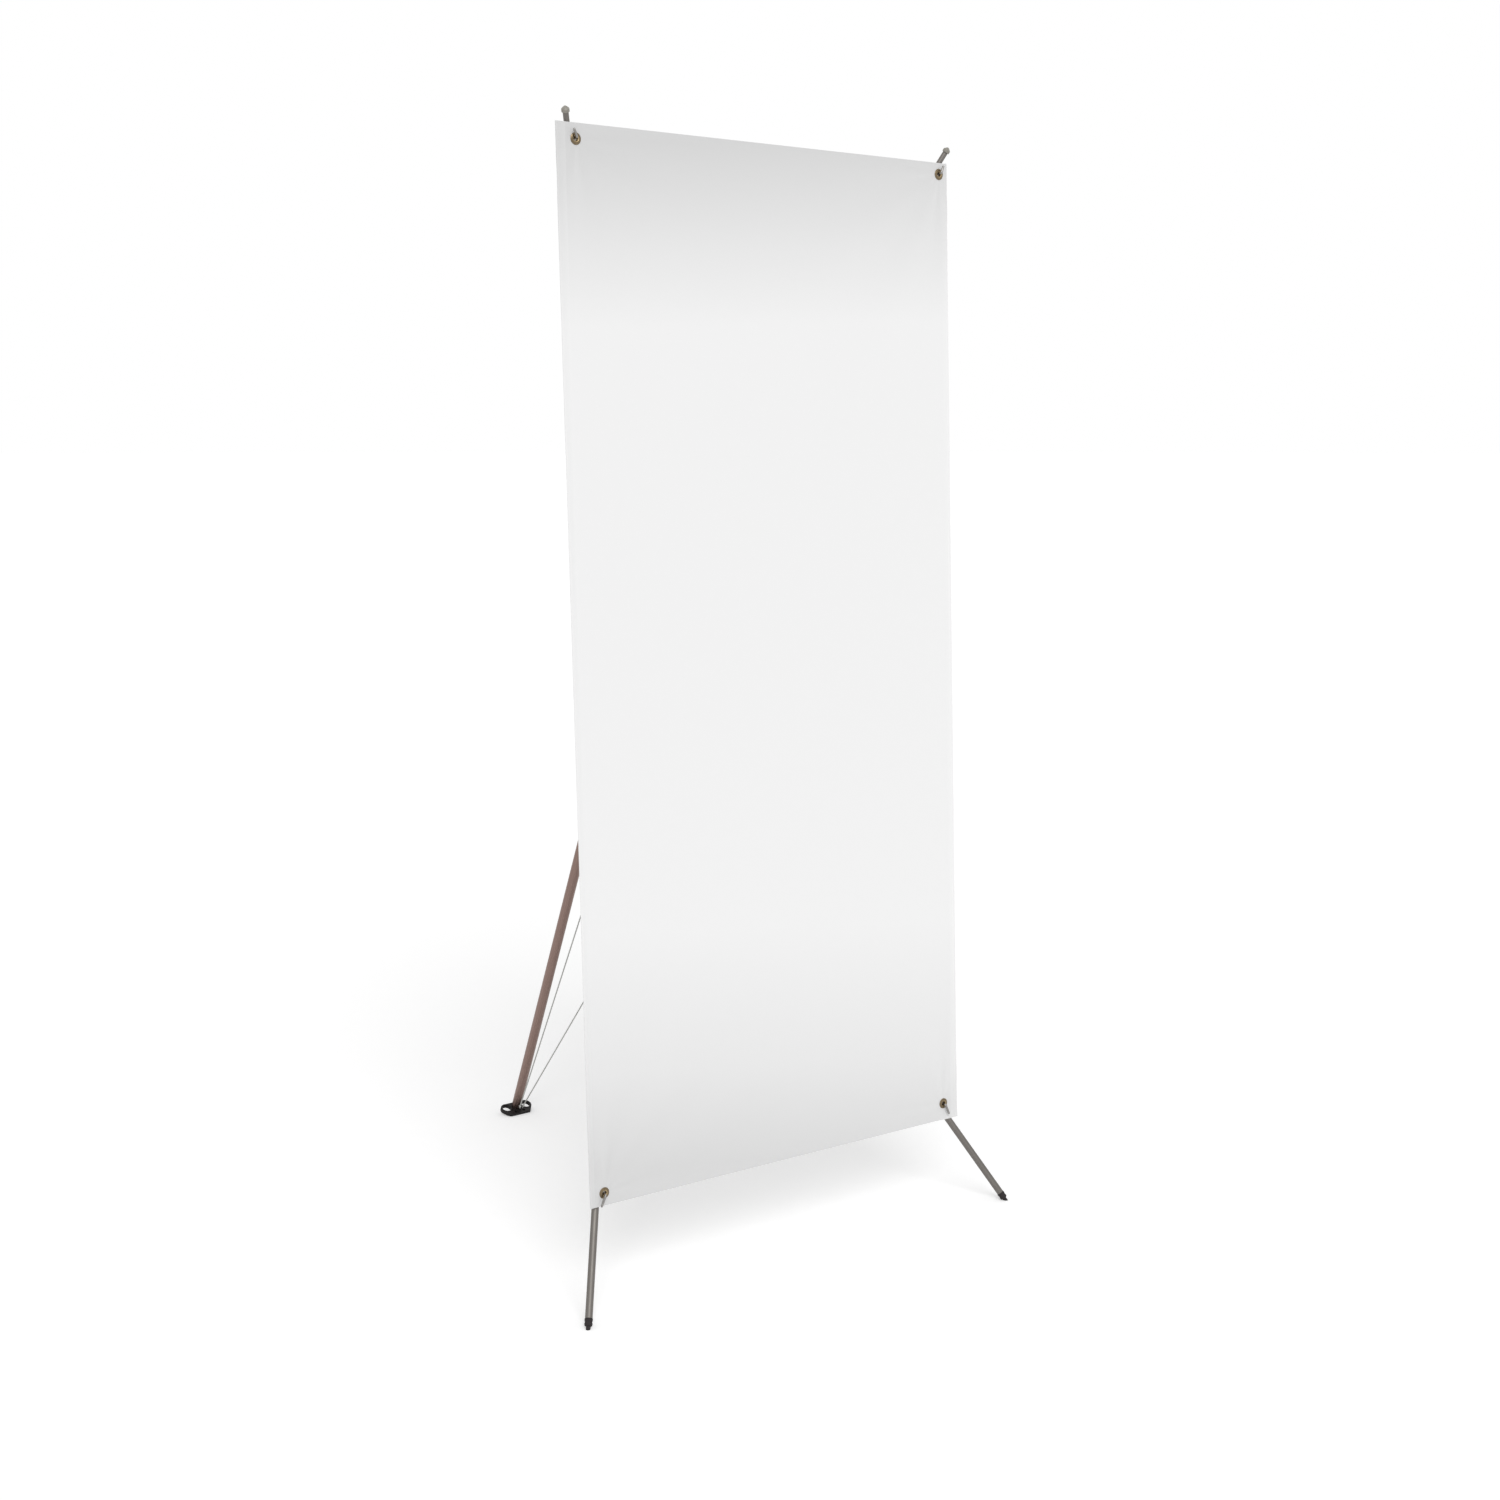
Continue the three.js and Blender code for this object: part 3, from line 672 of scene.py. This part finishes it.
def hook_points(eyelet, place, radius, behind, tail):
    """Where a hook's clip sits and the line that its wire follows, in metres, and its boss's reach in mm."""
    normal = (banner_frame.to_3x3() @ Vector((0, 1, 0))).normalized()
    outward = eyelet - hub_at
    outward = (outward - normal * outward.dot(normal)).normalized()
    at_eyelet = eyelet + outward * (eyelet_bore - wire_radius - play) * MM
    member_at = at_eyelet - forward * behind * MM
    leaning = abs(forward.dot(place.to_3x3() @ Vector((0, 0, 1))))
    start = (radius + play + clip_wall + wire_radius * leaning) / math.sqrt(1 - leaning ** 2)
    corner = at_eyelet + forward * (flange_thickness + 2 * banner_half + wire_radius + hook_bend) * MM
    curve = bend(corner - forward * hook_bend * MM, corner, corner + outward * hook_bend * MM, 8)
    line = [member_at + forward * start * MM, *curve, corner + outward * tail * MM]
    return member_at, line, start + boss_reach


def swept(line, radius, count=24, domed=True):
    """Points and faces of a round wire along a line, with domed or flat ends. In the line's own units."""
    points, faces, rings = [], [], []
    neighbours = zip(line[:1] + line[:-1], line[1:] + line[-1:])
    ways = [(after - before).normalized() for before, after in neighbours]
    side = ways[0].orthogonal().normalized()
    stations = []
    for at, along in zip(line, ways):
        side = (side - along * side.dot(along)).normalized()
        stations.append((at, along, side, 1.0))
    if domed:
        caps = []
        for inward, (at, along, first, _) in ((1, stations[0]), (-1, stations[-1])):
            caps.append([(at + along * inward * radius * (1 - math.sin(a)), along, first, math.cos(a))
                         for a in map(math.radians, (90, 70, 50, 30, 12))])
        stations = caps[0] + stations[1:-1] + caps[1][::-1]
    smallest_share = 0.02
    for at, along, first, share in stations:
        second = along.cross(first)
        reach = max(share, smallest_share)
        ring = []
        for k in range(count):
            a = math.tau * k / count
            ring.append(len(points))
            points.append(at + (first * math.cos(a) + second * math.sin(a)) * radius * reach)
        rings.append(ring)
    for low, high in zip(rings, rings[1:]):
        faces += [[low[k], low[(k + 1) % count], high[(k + 1) % count], high[k]] for k in range(count)]
    faces += [rings[0][::-1], rings[-1]]
    return points, faces


def hook_pieces(kind, name, level, place, radius, behind, tail):
    """A hook's nylon clip round its member, its zinc-plated wire, which bends outward past the banner, and
    a zinc-plated steel washer on the wire that keeps the eyelet forward."""
    low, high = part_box(f"eyelet_{level}_{name}")
    member_at, line, reach = hook_points((low + high) / 2, place, radius, behind, tail)
    at = (place.inverted() @ member_at).z / MM
    outer = radius + play + clip_wall
    boss = placed(Vector((0, 0, at)), place.inverted().to_3x3() @ forward, rightward)
    ring, bore = clip_ring(radius, at)
    bead = turned([(outer - bead_depth, at - bead_root_half), (outer + bead_proud, at - bead_half),
                   (outer + bead_proud, at + bead_half), (outer - bead_depth, at + bead_root_half)], True)
    solids = [ring, bead, laid(rod(boss_radius, radius, reach), boss),
              laid(rod(boss_radius + boss_step, radius, reach - boss_reach), boss)]
    wire_hole = rod(wire_radius + play / 2, reach - boss_reach - play, reach + past)
    clip = moulded(solids, [bore, laid(wire_hole, boss)], clip_grid, clip_softening)
    fitted(clip, f"{kind}_hook_clip_{name}", place, nylon, soft_crease)
    wire = swept([(p - line[0]) / MM for p in line], wire_radius)
    hook = f"{kind}_hook_{name}"
    fitted(mesh_of(wire), hook, Matrix.Translation(line[0]), zinc)
    stop = mesh_of(hoop(wire_radius, stop_radius, 0, stop_thickness, stop_ease))
    stop_at = member_at + forward * (behind - stop_behind - stop_thickness) * MM
    made = dressed(f"{kind}_hook_stop_{name}", stop, placed(stop_at, forward, rightward), zinc)
    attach(made, body_of[hook])


banner_lean = math.radians(1.6)
banner_origin = Vector((0, *eyelet_middle[1:]))
banner_frame = Matrix.Translation(banner_origin) @ Matrix.Rotation(-banner_lean, 4, "X")

sides = {"left": -1, "right": 1}
for name, side in sides.items():
    place = pivot_pieces("leg", name, leg_radius, leg_wall, flipped=side < 0)
    end = fit_tube(f"leg_tube_{name}", place, leg_radius, leg_wall, satin_metal)
    flange_end = end + foot_flange_height
    nose_end = flange_end + foot_nose_length + foot_nose
    bulge = foot_flange_height / 4
    waist = foot_flange - foot_groove
    foot = turned(eased([
        *end_plug(leg_radius, leg_wall, end), (foot_flange, end + play),
        (foot_flange, end + bulge), (waist, end + 2 * bulge), (foot_flange, end + 3 * bulge),
        (waist, flange_end), (foot_nose, flange_end), (foot_nose, nose_end), (0, nose_end)], soft_ease))
    fitted(cut_at_floor(mesh_of(foot), place), f"leg_foot_{name}", place, rubber, soft_part_crease)
    hook_pieces("leg", name, "lower", place, leg_radius, leg_behind, leg_hook_tail)


# Cord clips: a nylon ring on each leg, moulded in one with a lug that points down the stay cord.
# The cord's bight goes through the hole in the lug. The ring has the shape of the hook clips' rings.

lug_reach = leg_radius + play + clip_wall + lug_radius
cord_radius = 1.3
knot_from_eye = 7.4
cord_ends = {}
for name, side in sides.items():
    place = member_frames[f"leg_{name}"]
    low, high = measured(f"cord_clip_{name}", place)
    at = (low.z + high.z) / 2
    foot_eye = mast_frame @ (Vector((side * (lug_half + cord_radius), *eye)) * MM)
    seen = place.inverted() @ foot_eye
    turn = Matrix.Rotation(math.atan2(seen.y, seen.x), 4, "Z")
    clip_eye = place @ (turn @ Vector((lug_reach * MM, 0, at * MM)))
    along = (clip_eye - foot_eye).normalized() * knot_from_eye * MM
    cord_ends[name] = ((foot_eye + along) / MM, (clip_eye - along) / MM)
    lug_outline = [(leg_radius, -lug_radius), *arc((lug_reach, 0), lug_radius, -90, 90),
                   (leg_radius, lug_radius)]
    upright = shifted(0, 0, at) @ turn @ quarter("X")
    ring, bore = clip_ring(leg_radius, at)
    solids = [ring, laid(slab(lug_outline, -lug_half, lug_half), upright)]
    cuts = [bore, laid(rod(lug_hole, -lug_half - past, lug_half + past), upright @ shifted(lug_reach, 0, 0))]
    clip = moulded(solids, cuts, clip_grid, clip_softening)
    fitted(clip, f"cord_clip_{name}", place, nylon, soft_crease)


# Arms: two slim drawn aluminium rods on each side, plugged end to end in a sleeve, that rise from the hub.
# Each has a nylon knuckle, a clip with a wire hook for the banner's upper eyelet and a pointed cap.

arm_radius = 4.75
arm_wall = 0.8
sleeve_wall = 1.3
sleeve_crimps = (5, 9)
crimp_depth = 0.35
crimp_half = 1
crimp_floor_half = 0.4
arm_hook_tail = 15
arm_behind = 19
tip_flange = 6.6
tip_flange_height = 5.5
tip_point_radius = 1.6
tip_point_height = 4.5

# Grey moulded polypropylene: a dull mid grey with a soft sheen and a fine grain.
# The grain is 0.3 mm in the real one and 0.6 mm here, so that it shows.
cap_grain = 0.6
cap_cloud = 6
cap_plastic, tree, shader, where = finish("grey_moulded_polypropylene", "grey_cap", Roughness=0.45, IOR=1.49)
grain = add(tree, "TexNoise", {"Scale": 1 / (cap_grain * MM), "Detail": 3.0}, {"Vector": where})
tone = clouded(tree, where, cap_cloud, 2.0, "#827f77", "#98948b")
bump = add(tree, "Bump", {"Strength": 0.3, "Distance": 0.08 * MM}, {"Height": grain})
feed(shader, {"Base Color": tone, "Normal": bump})

for name in sides:
    place = pivot_pieces("arm", name, arm_radius, arm_wall)
    for half in ("lower", "upper"):
        tip = fit_tube(f"arm_{half}_rod_{name}", place, arm_radius, arm_wall, satin_metal)
    low, high = measured(f"arm_sleeve_{name}", place)
    bore = arm_radius + play
    outer = bore + sleeve_wall
    groove = outer - crimp_depth
    crimps = []
    for at in [low.z + s for s in sleeve_crimps] + [high.z - s for s in sleeve_crimps[::-1]]:
        crimps += [(outer, at - crimp_half), (groove, at - crimp_floor_half),
                   (groove, at + crimp_floor_half), (outer, at + crimp_half)]
    sleeve = eased([(bore, low.z), (outer, low.z), *crimps, (outer, high.z), (bore, high.z)],
                   saw_chamfer, True, 2)
    fitted(mesh_of(turned(sleeve, True)), f"arm_sleeve_{name}", place, satin_metal)
    flange_end = tip + tip_flange_height
    point_end = flange_end + tip_point_height
    cap = turned(eased([*end_plug(arm_radius, arm_wall, tip), (tip_flange, tip + play),
                        (tip_flange, flange_end), (tip_point_radius, point_end), (0, point_end)], soft_ease))
    fitted(mesh_of(cap), f"arm_tip_cap_{name}", place, cap_plastic, soft_part_crease)
    hook_pieces("arm", name, "upper", place, arm_radius, arm_behind, arm_hook_tail)


# Stay cords: one light cord threaded through the rear foot's lug and tied to both legs, so that the stand
# can't spread. Braided polyester, 2.6 mm thick, pulled straight, with a stopper knot at each end of each
# run.

cord_rings = 160
cord_sides = 16
braid_strands = 8
braid_pitch = 5
knot_size = 0.58
knot_depth = 1.3
knot_steps = 60
bight_lead = 2
bight_spread = 1.2
crossing_spread = 1.1

# Braided polyester cord: a dull light grey whose strands cross in two directions, with painted shade in the
# grooves.
# The strands repeat every 3 mm in the real one and every 5 mm here, so that they show.
braid, tree, shader, _ = finish("light_grey_braided_polyester", "cord", Roughness=0.8, IOR=1.45)
unwrapped = add(tree, "UVMap")
along = add(tree, "SeparateXYZ", {}, {"Vector": unwrapped})
round_turn = add(tree, "Math", {"operation": "MULTIPLY", 1: math.pi * braid_strands},
                 {0: along.outputs["X"]})
run = add(tree, "Math", {"operation": "MULTIPLY", 1: math.tau / (braid_pitch * MM)}, {0: along.outputs["Y"]})
waves = []
for operation in ("ADD", "SUBTRACT"):
    phase = add(tree, "Math", {"operation": operation}, {0: round_turn, 1: run})
    waves.append(add(tree, "Math", {"operation": "SINE"}, {0: phase}))
strand = add(tree, "Math", {"operation": "MAXIMUM"}, {0: waves[0], 1: waves[1]})
height = add(tree, "MapRange", {"From Min": -1.0}, {"Value": strand})
# Painted shade: the cord is darker where the strands dip, in the grooves between them.
tone = add(tree, "Mix", {"data_type": "RGBA", "A": linear("#8f8f8b"), "B": linear("#c4c4c0")},
           {"Factor": height})
bump = add(tree, "Bump", {"Strength": 0.6, "Distance": 0.25 * MM}, {"Height": height})
feed(shader, {"Base Color": tone, "Normal": bump})


def cord_piece(name, line):
    """A length of cord along a line in mm, with its UVs: round it, and along it in metres."""
    mesh = mesh_of(swept(line, cord_radius, cord_sides, False))
    travelled = [0.0]
    for a, b in zip(line, line[1:]):
        travelled.append(travelled[-1] + (b - a).length * MM)
    rings = len(mesh.vertices) // cord_sides
    layer = mesh.uv_layers.new(name="along_the_cord")
    for loop in mesh.loops:
        ring, k = divmod(loop.vertex_index, cord_sides)
        share = ring / (rings - 1) * (len(travelled) - 1)
        layer.data[loop.index].uv = (k / cord_sides, travelled[int(share)])
    made = put(name, mesh)
    mesh.materials.append(braid)
    mesh.shade_smooth()
    return made


def knot(name, at, along, body):
    """An overhand stopper knot, pulled tight round its own line."""
    line = []
    turn = placed(at, along, rightward)
    for k in range(knot_steps + 1):
        t = math.tau * k / knot_steps
        bent = Vector((math.sin(t) + 2 * math.sin(2 * t), math.cos(t) - 2 * math.cos(2 * t),
                       -knot_depth * math.sin(3 * t)))
        line.append(turn @ (bent * knot_size))
    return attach(cord_piece(name, line), body)


def smooth_line(corners, steps=6):
    """A line in mm that eases round its corners."""
    line = [corners[0]]
    for before, at, after in zip(corners, corners[1:], corners[2:]):
        line += bend(before.lerp(at, 0.5), at, at.lerp(after, 0.5), steps)
    return line + [corners[-1]]


eye_at = mast_frame @ (Vector((0, *eye)) * MM) / MM
beside = lug_half + cord_radius
for name, side in sides.items():
    low, high = cord_ends[name]
    run = [low.lerp(high, k / cord_rings) for k in range(cord_rings + 1)]
    cord = cord_piece(f"stay_cord_{name}_braided", run)
    along = (high - low).normalized()
    upper_eye = high + along * knot_from_eye
    on_leg = member_frames[f"leg_{name}"].to_3x3() @ Vector((0, 0, 1))
    hole_way = on_leg.cross(along).normalized()
    lead = high + along * bight_lead
    bight = smooth_line([high, lead + hole_way * beside, upper_eye + hole_way * beside * bight_spread,
                         upper_eye - hole_way * beside * bight_spread, lead - hole_way * beside, high])
    pieces = [knot(f"stay_cord_knot_low_{name}", low, along, "frame"),
              knot(f"stay_cord_knot_high_{name}", high, along, f"leg_{name}"),
              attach(cord_piece(f"stay_cord_bight_{name}", bight), f"leg_{name}")]
    if side < 0:
        mirrored = Vector((-low.x, low.y, low.z))
        outer = Vector((side * beside * crossing_spread, 0, 0))
        crossing = smooth_line([low, eye_at + outer, eye_at - outer, mirrored])
        pieces.append(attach(cord_piece("stay_cord_crossing", crossing), "frame"))
    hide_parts(f"stay_cord_{name}")
    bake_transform(cord)


# Banner: one sheet of coated polyester cloth, 825 by 1778 mm, stretched between the four hooks.
# Its long edges have a narrow welded hem. It hangs a little askew round its eyelets, with faint creases
# that run in from the corners, and its lower right corner lies on the leg.

banner_width = 825
banner_height = 1778
eyelet_inset = 25
hem_width = 6
hem_step = 0.25
weld_width = 0.8
askew_zone = 18
grid_step = 14
grid_gap = 1
eyelet_step = 2
eyelet_zone = 14
clear_of_eyelet = 7
crease_height = 1.1
crease_reach = 190
crease_start = 30
creases_round = 11
billow = 1.6
leg_press = 2.5
leg_press_reach = (22, 8)
leg_press_inset = 11
cloth_crease = 30

half_width = banner_width / 2
bottom, top = -eyelet_inset, banner_height - eyelet_inset
# How far each corner hangs from its square place, to the right and up, by its side and its level
askew = {(-1, -1): (-3.5, 3), (1, -1): (10.5, -7), (-1, 1): (-12, 0), (1, 1): (-6, -5)}
corners_at = [Vector((x, z)) for x in (eyelet_inset - half_width, half_width - eyelet_inset)
              for z in (0, banner_height - 2 * eyelet_inset)]


def lines_between(low, high, dense):
    """Grid lines in mm: even ones, and closer ones round the eyelets and at the hem's step."""
    count = round((high - low) / grid_step)
    lines = [low + (high - low) * k / count for k in range(count + 1)]
    lines = [v for v in lines
             if all(not a - grid_gap < v < b + grid_gap for a, b, _ in dense) or v in (low, high)]
    for a, b, step in dense:
        parts = round((b - a) / step)
        lines += [a + (b - a) * k / parts for k in range(parts + 1)]
    return sorted(set(round(v, 4) for v in lines))


def cloth_offset(x, z):
    """How far the cloth stands behind its plane, in mm: creases from the corners and a slight billow. Its
    lowest corner lies on the right leg, which presses it forward."""
    across, up = (x + half_width) / banner_width, (z - bottom) / banner_height
    out = billow * math.sin(math.pi * across) * math.sin(math.pi * up)
    for corner in corners_at:
        apart = Vector((x, z)) - corner
        far = apart.length
        inward = math.atan2(-corner.x, banner_height / 2 - corner.y)
        angle = math.atan2(apart.x, apart.y) - inward
        fade = math.exp(-far / crease_reach) * (1 - math.exp(-(far / crease_start) ** 2))
        out += crease_height * fade * math.cos(creases_round * angle) * max(0, math.cos(angle))
    from_leg = (x - corners_at[2].x - leg_press_inset) / leg_press_reach[0]
    return out - leg_press * math.exp(-from_leg ** 2 - ((z - bottom) / leg_press_reach[1]) ** 2)


def hung(x, z):
    """Where a point of the sheet lies. Its edges run a little askew round the eyelets."""
    across, up = (x + half_width) / banner_width, (z - bottom) / banner_height
    shift = Vector((0, 0))
    for (side, level), moved in askew.items():
        shift += Vector(moved) * (across if side > 0 else 1 - across) * (up if level > 0 else 1 - up)
    from_side, from_end = half_width - abs(x), min(z - bottom, top - z)
    near = [min(1, max(0, (askew_zone - away) / (askew_zone - hem_width))) for away in (from_side, from_end)]
    return x + shift.x * near[0], z + shift.y * near[1]


def round_eyelet(at):
    """The closer grid lines round an eyelet."""
    return at - eyelet_zone, at + eyelet_zone, eyelet_step


hem_edge = half_width - hem_width
columns = lines_between(-half_width, half_width, [
    (-hem_edge - weld_width, -hem_edge, weld_width), (hem_edge, hem_edge + weld_width, weld_width),
    round_eyelet(corners_at[0].x), round_eyelet(corners_at[2].x)])
rows = lines_between(bottom, top, [round_eyelet(corners_at[k].y) for k in (0, 1)])
points, faces = [], []
for facing in (-1, 1):
    for z in rows:
        for x in columns:
            thick = banner_half + (hem_step if abs(x) > hem_edge + weld_width / 2 else 0)
            across, up = hung(x, z)
            points.append(Vector((across, cloth_offset(x, z) + facing * thick, up)))
wide, tall = len(columns), len(rows)
kept = set()
for r in range(tall - 1):
    for c in range(wide - 1):
        middle = Vector(((columns[c] + columns[c + 1]) / 2, (rows[r] + rows[r + 1]) / 2))
        if all((middle - corner).length > clear_of_eyelet for corner in corners_at):
            kept.add((r, c))
for r, c in sorted(kept):
    front = [r * wide + c, r * wide + c + 1, (r + 1) * wide + c + 1, (r + 1) * wide + c]
    back = [k + wide * tall for k in front][::-1]
    faces += [front, back]
    for (dr, dc), (a, b) in {(-1, 0): (0, 1), (0, 1): (1, 2), (1, 0): (2, 3), (0, -1): (3, 0)}.items():
        if (r + dr, c + dc) not in kept:
            faces.append([front[b], front[a], front[a] + wide * tall, front[b] + wide * tall])
used = sorted({k for face in faces for k in face})
renumbered = {old: new for new, old in enumerate(used)}
sheet = [points[k] for k in used], [[renumbered[k] for k in face] for face in faces]

# Coated polyester banner cloth: a matt white, with painted shade that turns it grey towards the top and bottom
# edges along slightly slanting lines, a lighter welded hem, and the close weave of its threads just showing
# through the coating. The threads are 0.5 mm apart in the real one and 2.5 mm here, so that they show.
thread_spacing = 2.5
hem_lightness = 0.12
# Painted shade: the cloth's tones from its bottom (0) to its top (1), grey at both ends and white between.
painted_shade_tones = {0.0: "#d7d7d7", 0.10: "#e7e7e7", 0.24: "#f1f1f1",
          0.83: "#f1f1f1", 0.90: "#e7e7e7", 1.0: "#d4d4d4"}
cloth, tree, shader, where = finish("matt_coated_banner_cloth", "banner_vinyl", Roughness=0.62, IOR=1.5)
spread = add(tree, "SeparateXYZ", {}, {"Vector": where})
up_share = add(tree, "MapRange", {"From Min": bottom * MM, "From Max": top * MM},
               {"Value": spread.outputs["Z"]})
# Painted shade: the grey's edge slants, so it reaches further in on the left and less far on the right.
painted_shade_slant = add(tree, "MapRange", {"To Min": 0.1, "To Max": -0.05}, {"Value": up_share})
leaned = add(tree, "Math", {"operation": "MULTIPLY_ADD"}, {0: spread.outputs["X"], 1: painted_shade_slant, 2: up_share})
painted_shade_falloff = add(tree, "ValToRGB", {}, {"Fac": leaned})
ramp = painted_shade_falloff.color_ramp
while len(ramp.elements) < len(painted_shade_tones):
    ramp.elements.new(0.5)
for element, (position, shade) in zip(ramp.elements, painted_shade_tones.items()):
    element.position = position
    element.color = linear(shade)
side_share = add(tree, "Math", {"operation": "ABSOLUTE"}, {0: spread.outputs["X"]})
at_hem = add(tree, "Math", {"operation": "GREATER_THAN", 1: hem_edge * MM}, {0: side_share})
hem_tone = add(tree, "Math", {"operation": "MULTIPLY", 1: hem_lightness}, {0: at_hem})
hemmed = add(tree, "Mix", {"data_type": "RGBA", "B": linear("#f7f7f7")}, {"Factor": hem_tone, "A": painted_shade_falloff})
weave = []
for axis in ("X", "Z"):
    phase = add(tree, "Math", {"operation": "MULTIPLY", 1: math.tau / (thread_spacing * MM)},
                {0: spread.outputs[axis]})
    weave.append(add(tree, "Math", {"operation": "SINE"}, {0: phase}))
crossed = add(tree, "Math", {"operation": "MULTIPLY"}, {0: weave[0], 1: weave[1]})
bump = add(tree, "Bump", {"Strength": 0.12, "Distance": 0.1 * MM}, {"Height": crossed})
feed(shader, {"Base Color": hemmed, "Normal": bump})

banner = fitted(mesh_of(sheet), "banner", banner_frame, cloth, cloth_crease)


# Eyelets: one pressed into each corner of the banner, a domed face in front and a washer behind.
# Brass that has browned to a dull ring on its face, with a painted highlight that makes it paler in the bore.

eyelet_flange = 9.75
flange_edge = 0.3
dome_foot = 3
dome_top = 1
barrel_wall = 0.6
roll = 0.7
pressed_ease = 0.5

# Aged rolled brass: a dull grey-brown ring, cloudy with patina, round a paler throat that is a painted highlight.
patina_size = 2.5
throat_start = 0.4
throat_end = 2
brass, tree, shader, where = finish("aged_rolled_brass", "brass", Metallic=1.0, Roughness=0.34)
flat = add(tree, "VectorMath", {"operation": "MULTIPLY", 1: (1, 1, 0)}, {0: where})
from_axis = add(tree, "VectorMath", {"operation": "LENGTH"}, {0: flat})
# Painted highlight: the brass is pale next to the bore and browned further out.
wear_and_painted_highlight = add(tree, "MapRange",
             {"From Min": (eyelet_bore + throat_start) * MM, "From Max": (eyelet_bore + throat_end) * MM},
             {"Value": from_axis})
browned = clouded(tree, where, patina_size, 4.0, "#5f5344", "#8a7a60")
tone = add(tree, "Mix", {"data_type": "RGBA", "A": linear("#c2ac84")}, {"Factor": wear_and_painted_highlight, "B": browned})
feed(shader, {"Base Color": tone})

seat = banner_half + play
face = seat + flange_thickness
barrel = eyelet_bore + barrel_wall
eyelet_profile = eased([
    (eyelet_bore, -face), (eyelet_flange, -face), (eyelet_flange, -seat), (barrel, -seat),
    (barrel, seat), (eyelet_flange, seat), (eyelet_flange, seat + flange_edge),
    (eyelet_bore + dome_foot, face + roll), (eyelet_bore + dome_top, face + roll), (eyelet_bore, face)],
    pressed_ease, True)
eyelets = []
for level in ("lower", "upper"):
    for name in sides:
        low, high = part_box(f"eyelet_{level}_{name}")
        place = Matrix.Translation((low + high) / 2) @ Matrix.Rotation(-banner_lean + math.pi / 2, 4, "X")
        eyelet_mesh = mesh_of(turned(eyelet_profile, True))
        eyelets.append(fitted(eyelet_mesh, f"eyelet_{level}_{name}", place, brass))

for piece in (banner, *eyelets[:2]):
    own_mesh(piece)


# Floor, light and camera: a plain pale floor that keeps the stand's shadow, soft even light and a white
# background. The camera's place was worked out from the photo. Sizes here are in metres and degrees.

floor_radius = 120
floor_sides = 120
floor_lift = 0.24
sun_tilt = 50
sun_turn = 25
camera_left = 2.2298
camera_before_sheet = 2.8122
camera_height = 1.4657
look_down = 8.82
look_aside = 37.43

rim = arc((0, 0), floor_radius, 0, 360 - 360 / floor_sides, floor_sides - 1)
floor_mesh = bpy.data.meshes.new("floor")
floor_mesh.from_pydata([(x, y, 0) for x, y in rim], [], [list(range(floor_sides))])
put("floor", floor_mesh)


def seen_directly(tree):
    """One where the camera, a mirror or clear plastic sees a surface, nought where it only gives light."""
    rays = add(tree, "LightPath")
    seen = rays.outputs["Is Camera Ray"]
    for ray in ("Is Glossy Ray", "Is Transmission Ray"):
        seen = add(tree, "Math", {"operation": "MAXIMUM"}, {0: seen, 1: rays.outputs[ray]})
    return seen


paper = bpy.data.materials.new("matt_white_studio_paper")
paper.use_nodes = True
tree = paper.node_tree
shader = tree.nodes["Principled BSDF"]
shader.inputs["Base Color"].default_value = linear("#f4f4f4")
shader.inputs["Roughness"].default_value = 0.95
shader.inputs["Specular IOR Level"].default_value = 0.0
lift = add(tree, "Math", {"operation": "MULTIPLY", 1: floor_lift}, {0: seen_directly(tree)})
glow = add(tree, "Emission", {"Color": (1, 1, 1, 1)}, {"Strength": lift})
both = add(tree, "AddShader", {}, {0: shader, 1: glow})
feed(tree.nodes["Material Output"], {"Surface": both})
floor_mesh.materials.append(paper)

world = bpy.data.worlds.new("studio")
bpy.context.scene.world = world
world.use_nodes = True
tree = world.node_tree
level = add(tree, "MapRange", {"To Min": 0.62, "To Max": 1.0}, {"Value": seen_directly(tree)})
background = tree.nodes["Background"]
background.inputs["Color"].default_value = (1, 1, 1, 1)
feed(background, {"Strength": level})

sun = bpy.data.lights.new("soft_sun", "SUN")
sun.energy = 1.3
sun.angle = math.radians(35)
put("soft_sun", sun).rotation_euler = (math.radians(sun_tilt), 0, math.radians(-sun_turn))

lens = bpy.data.cameras.new("photo_view")
lens.lens = 49.89
lens.sensor_width = 36
lens.clip_end = 300
camera = put("photo_view", lens)
camera.location = (-camera_left, sheet_line - camera_before_sheet, camera_height)
camera.rotation_euler = (math.radians(90 - look_down), 0, math.radians(-look_aside))
bpy.context.scene.camera = camera
bpy.context.scene.view_settings.view_transform = "Standard"
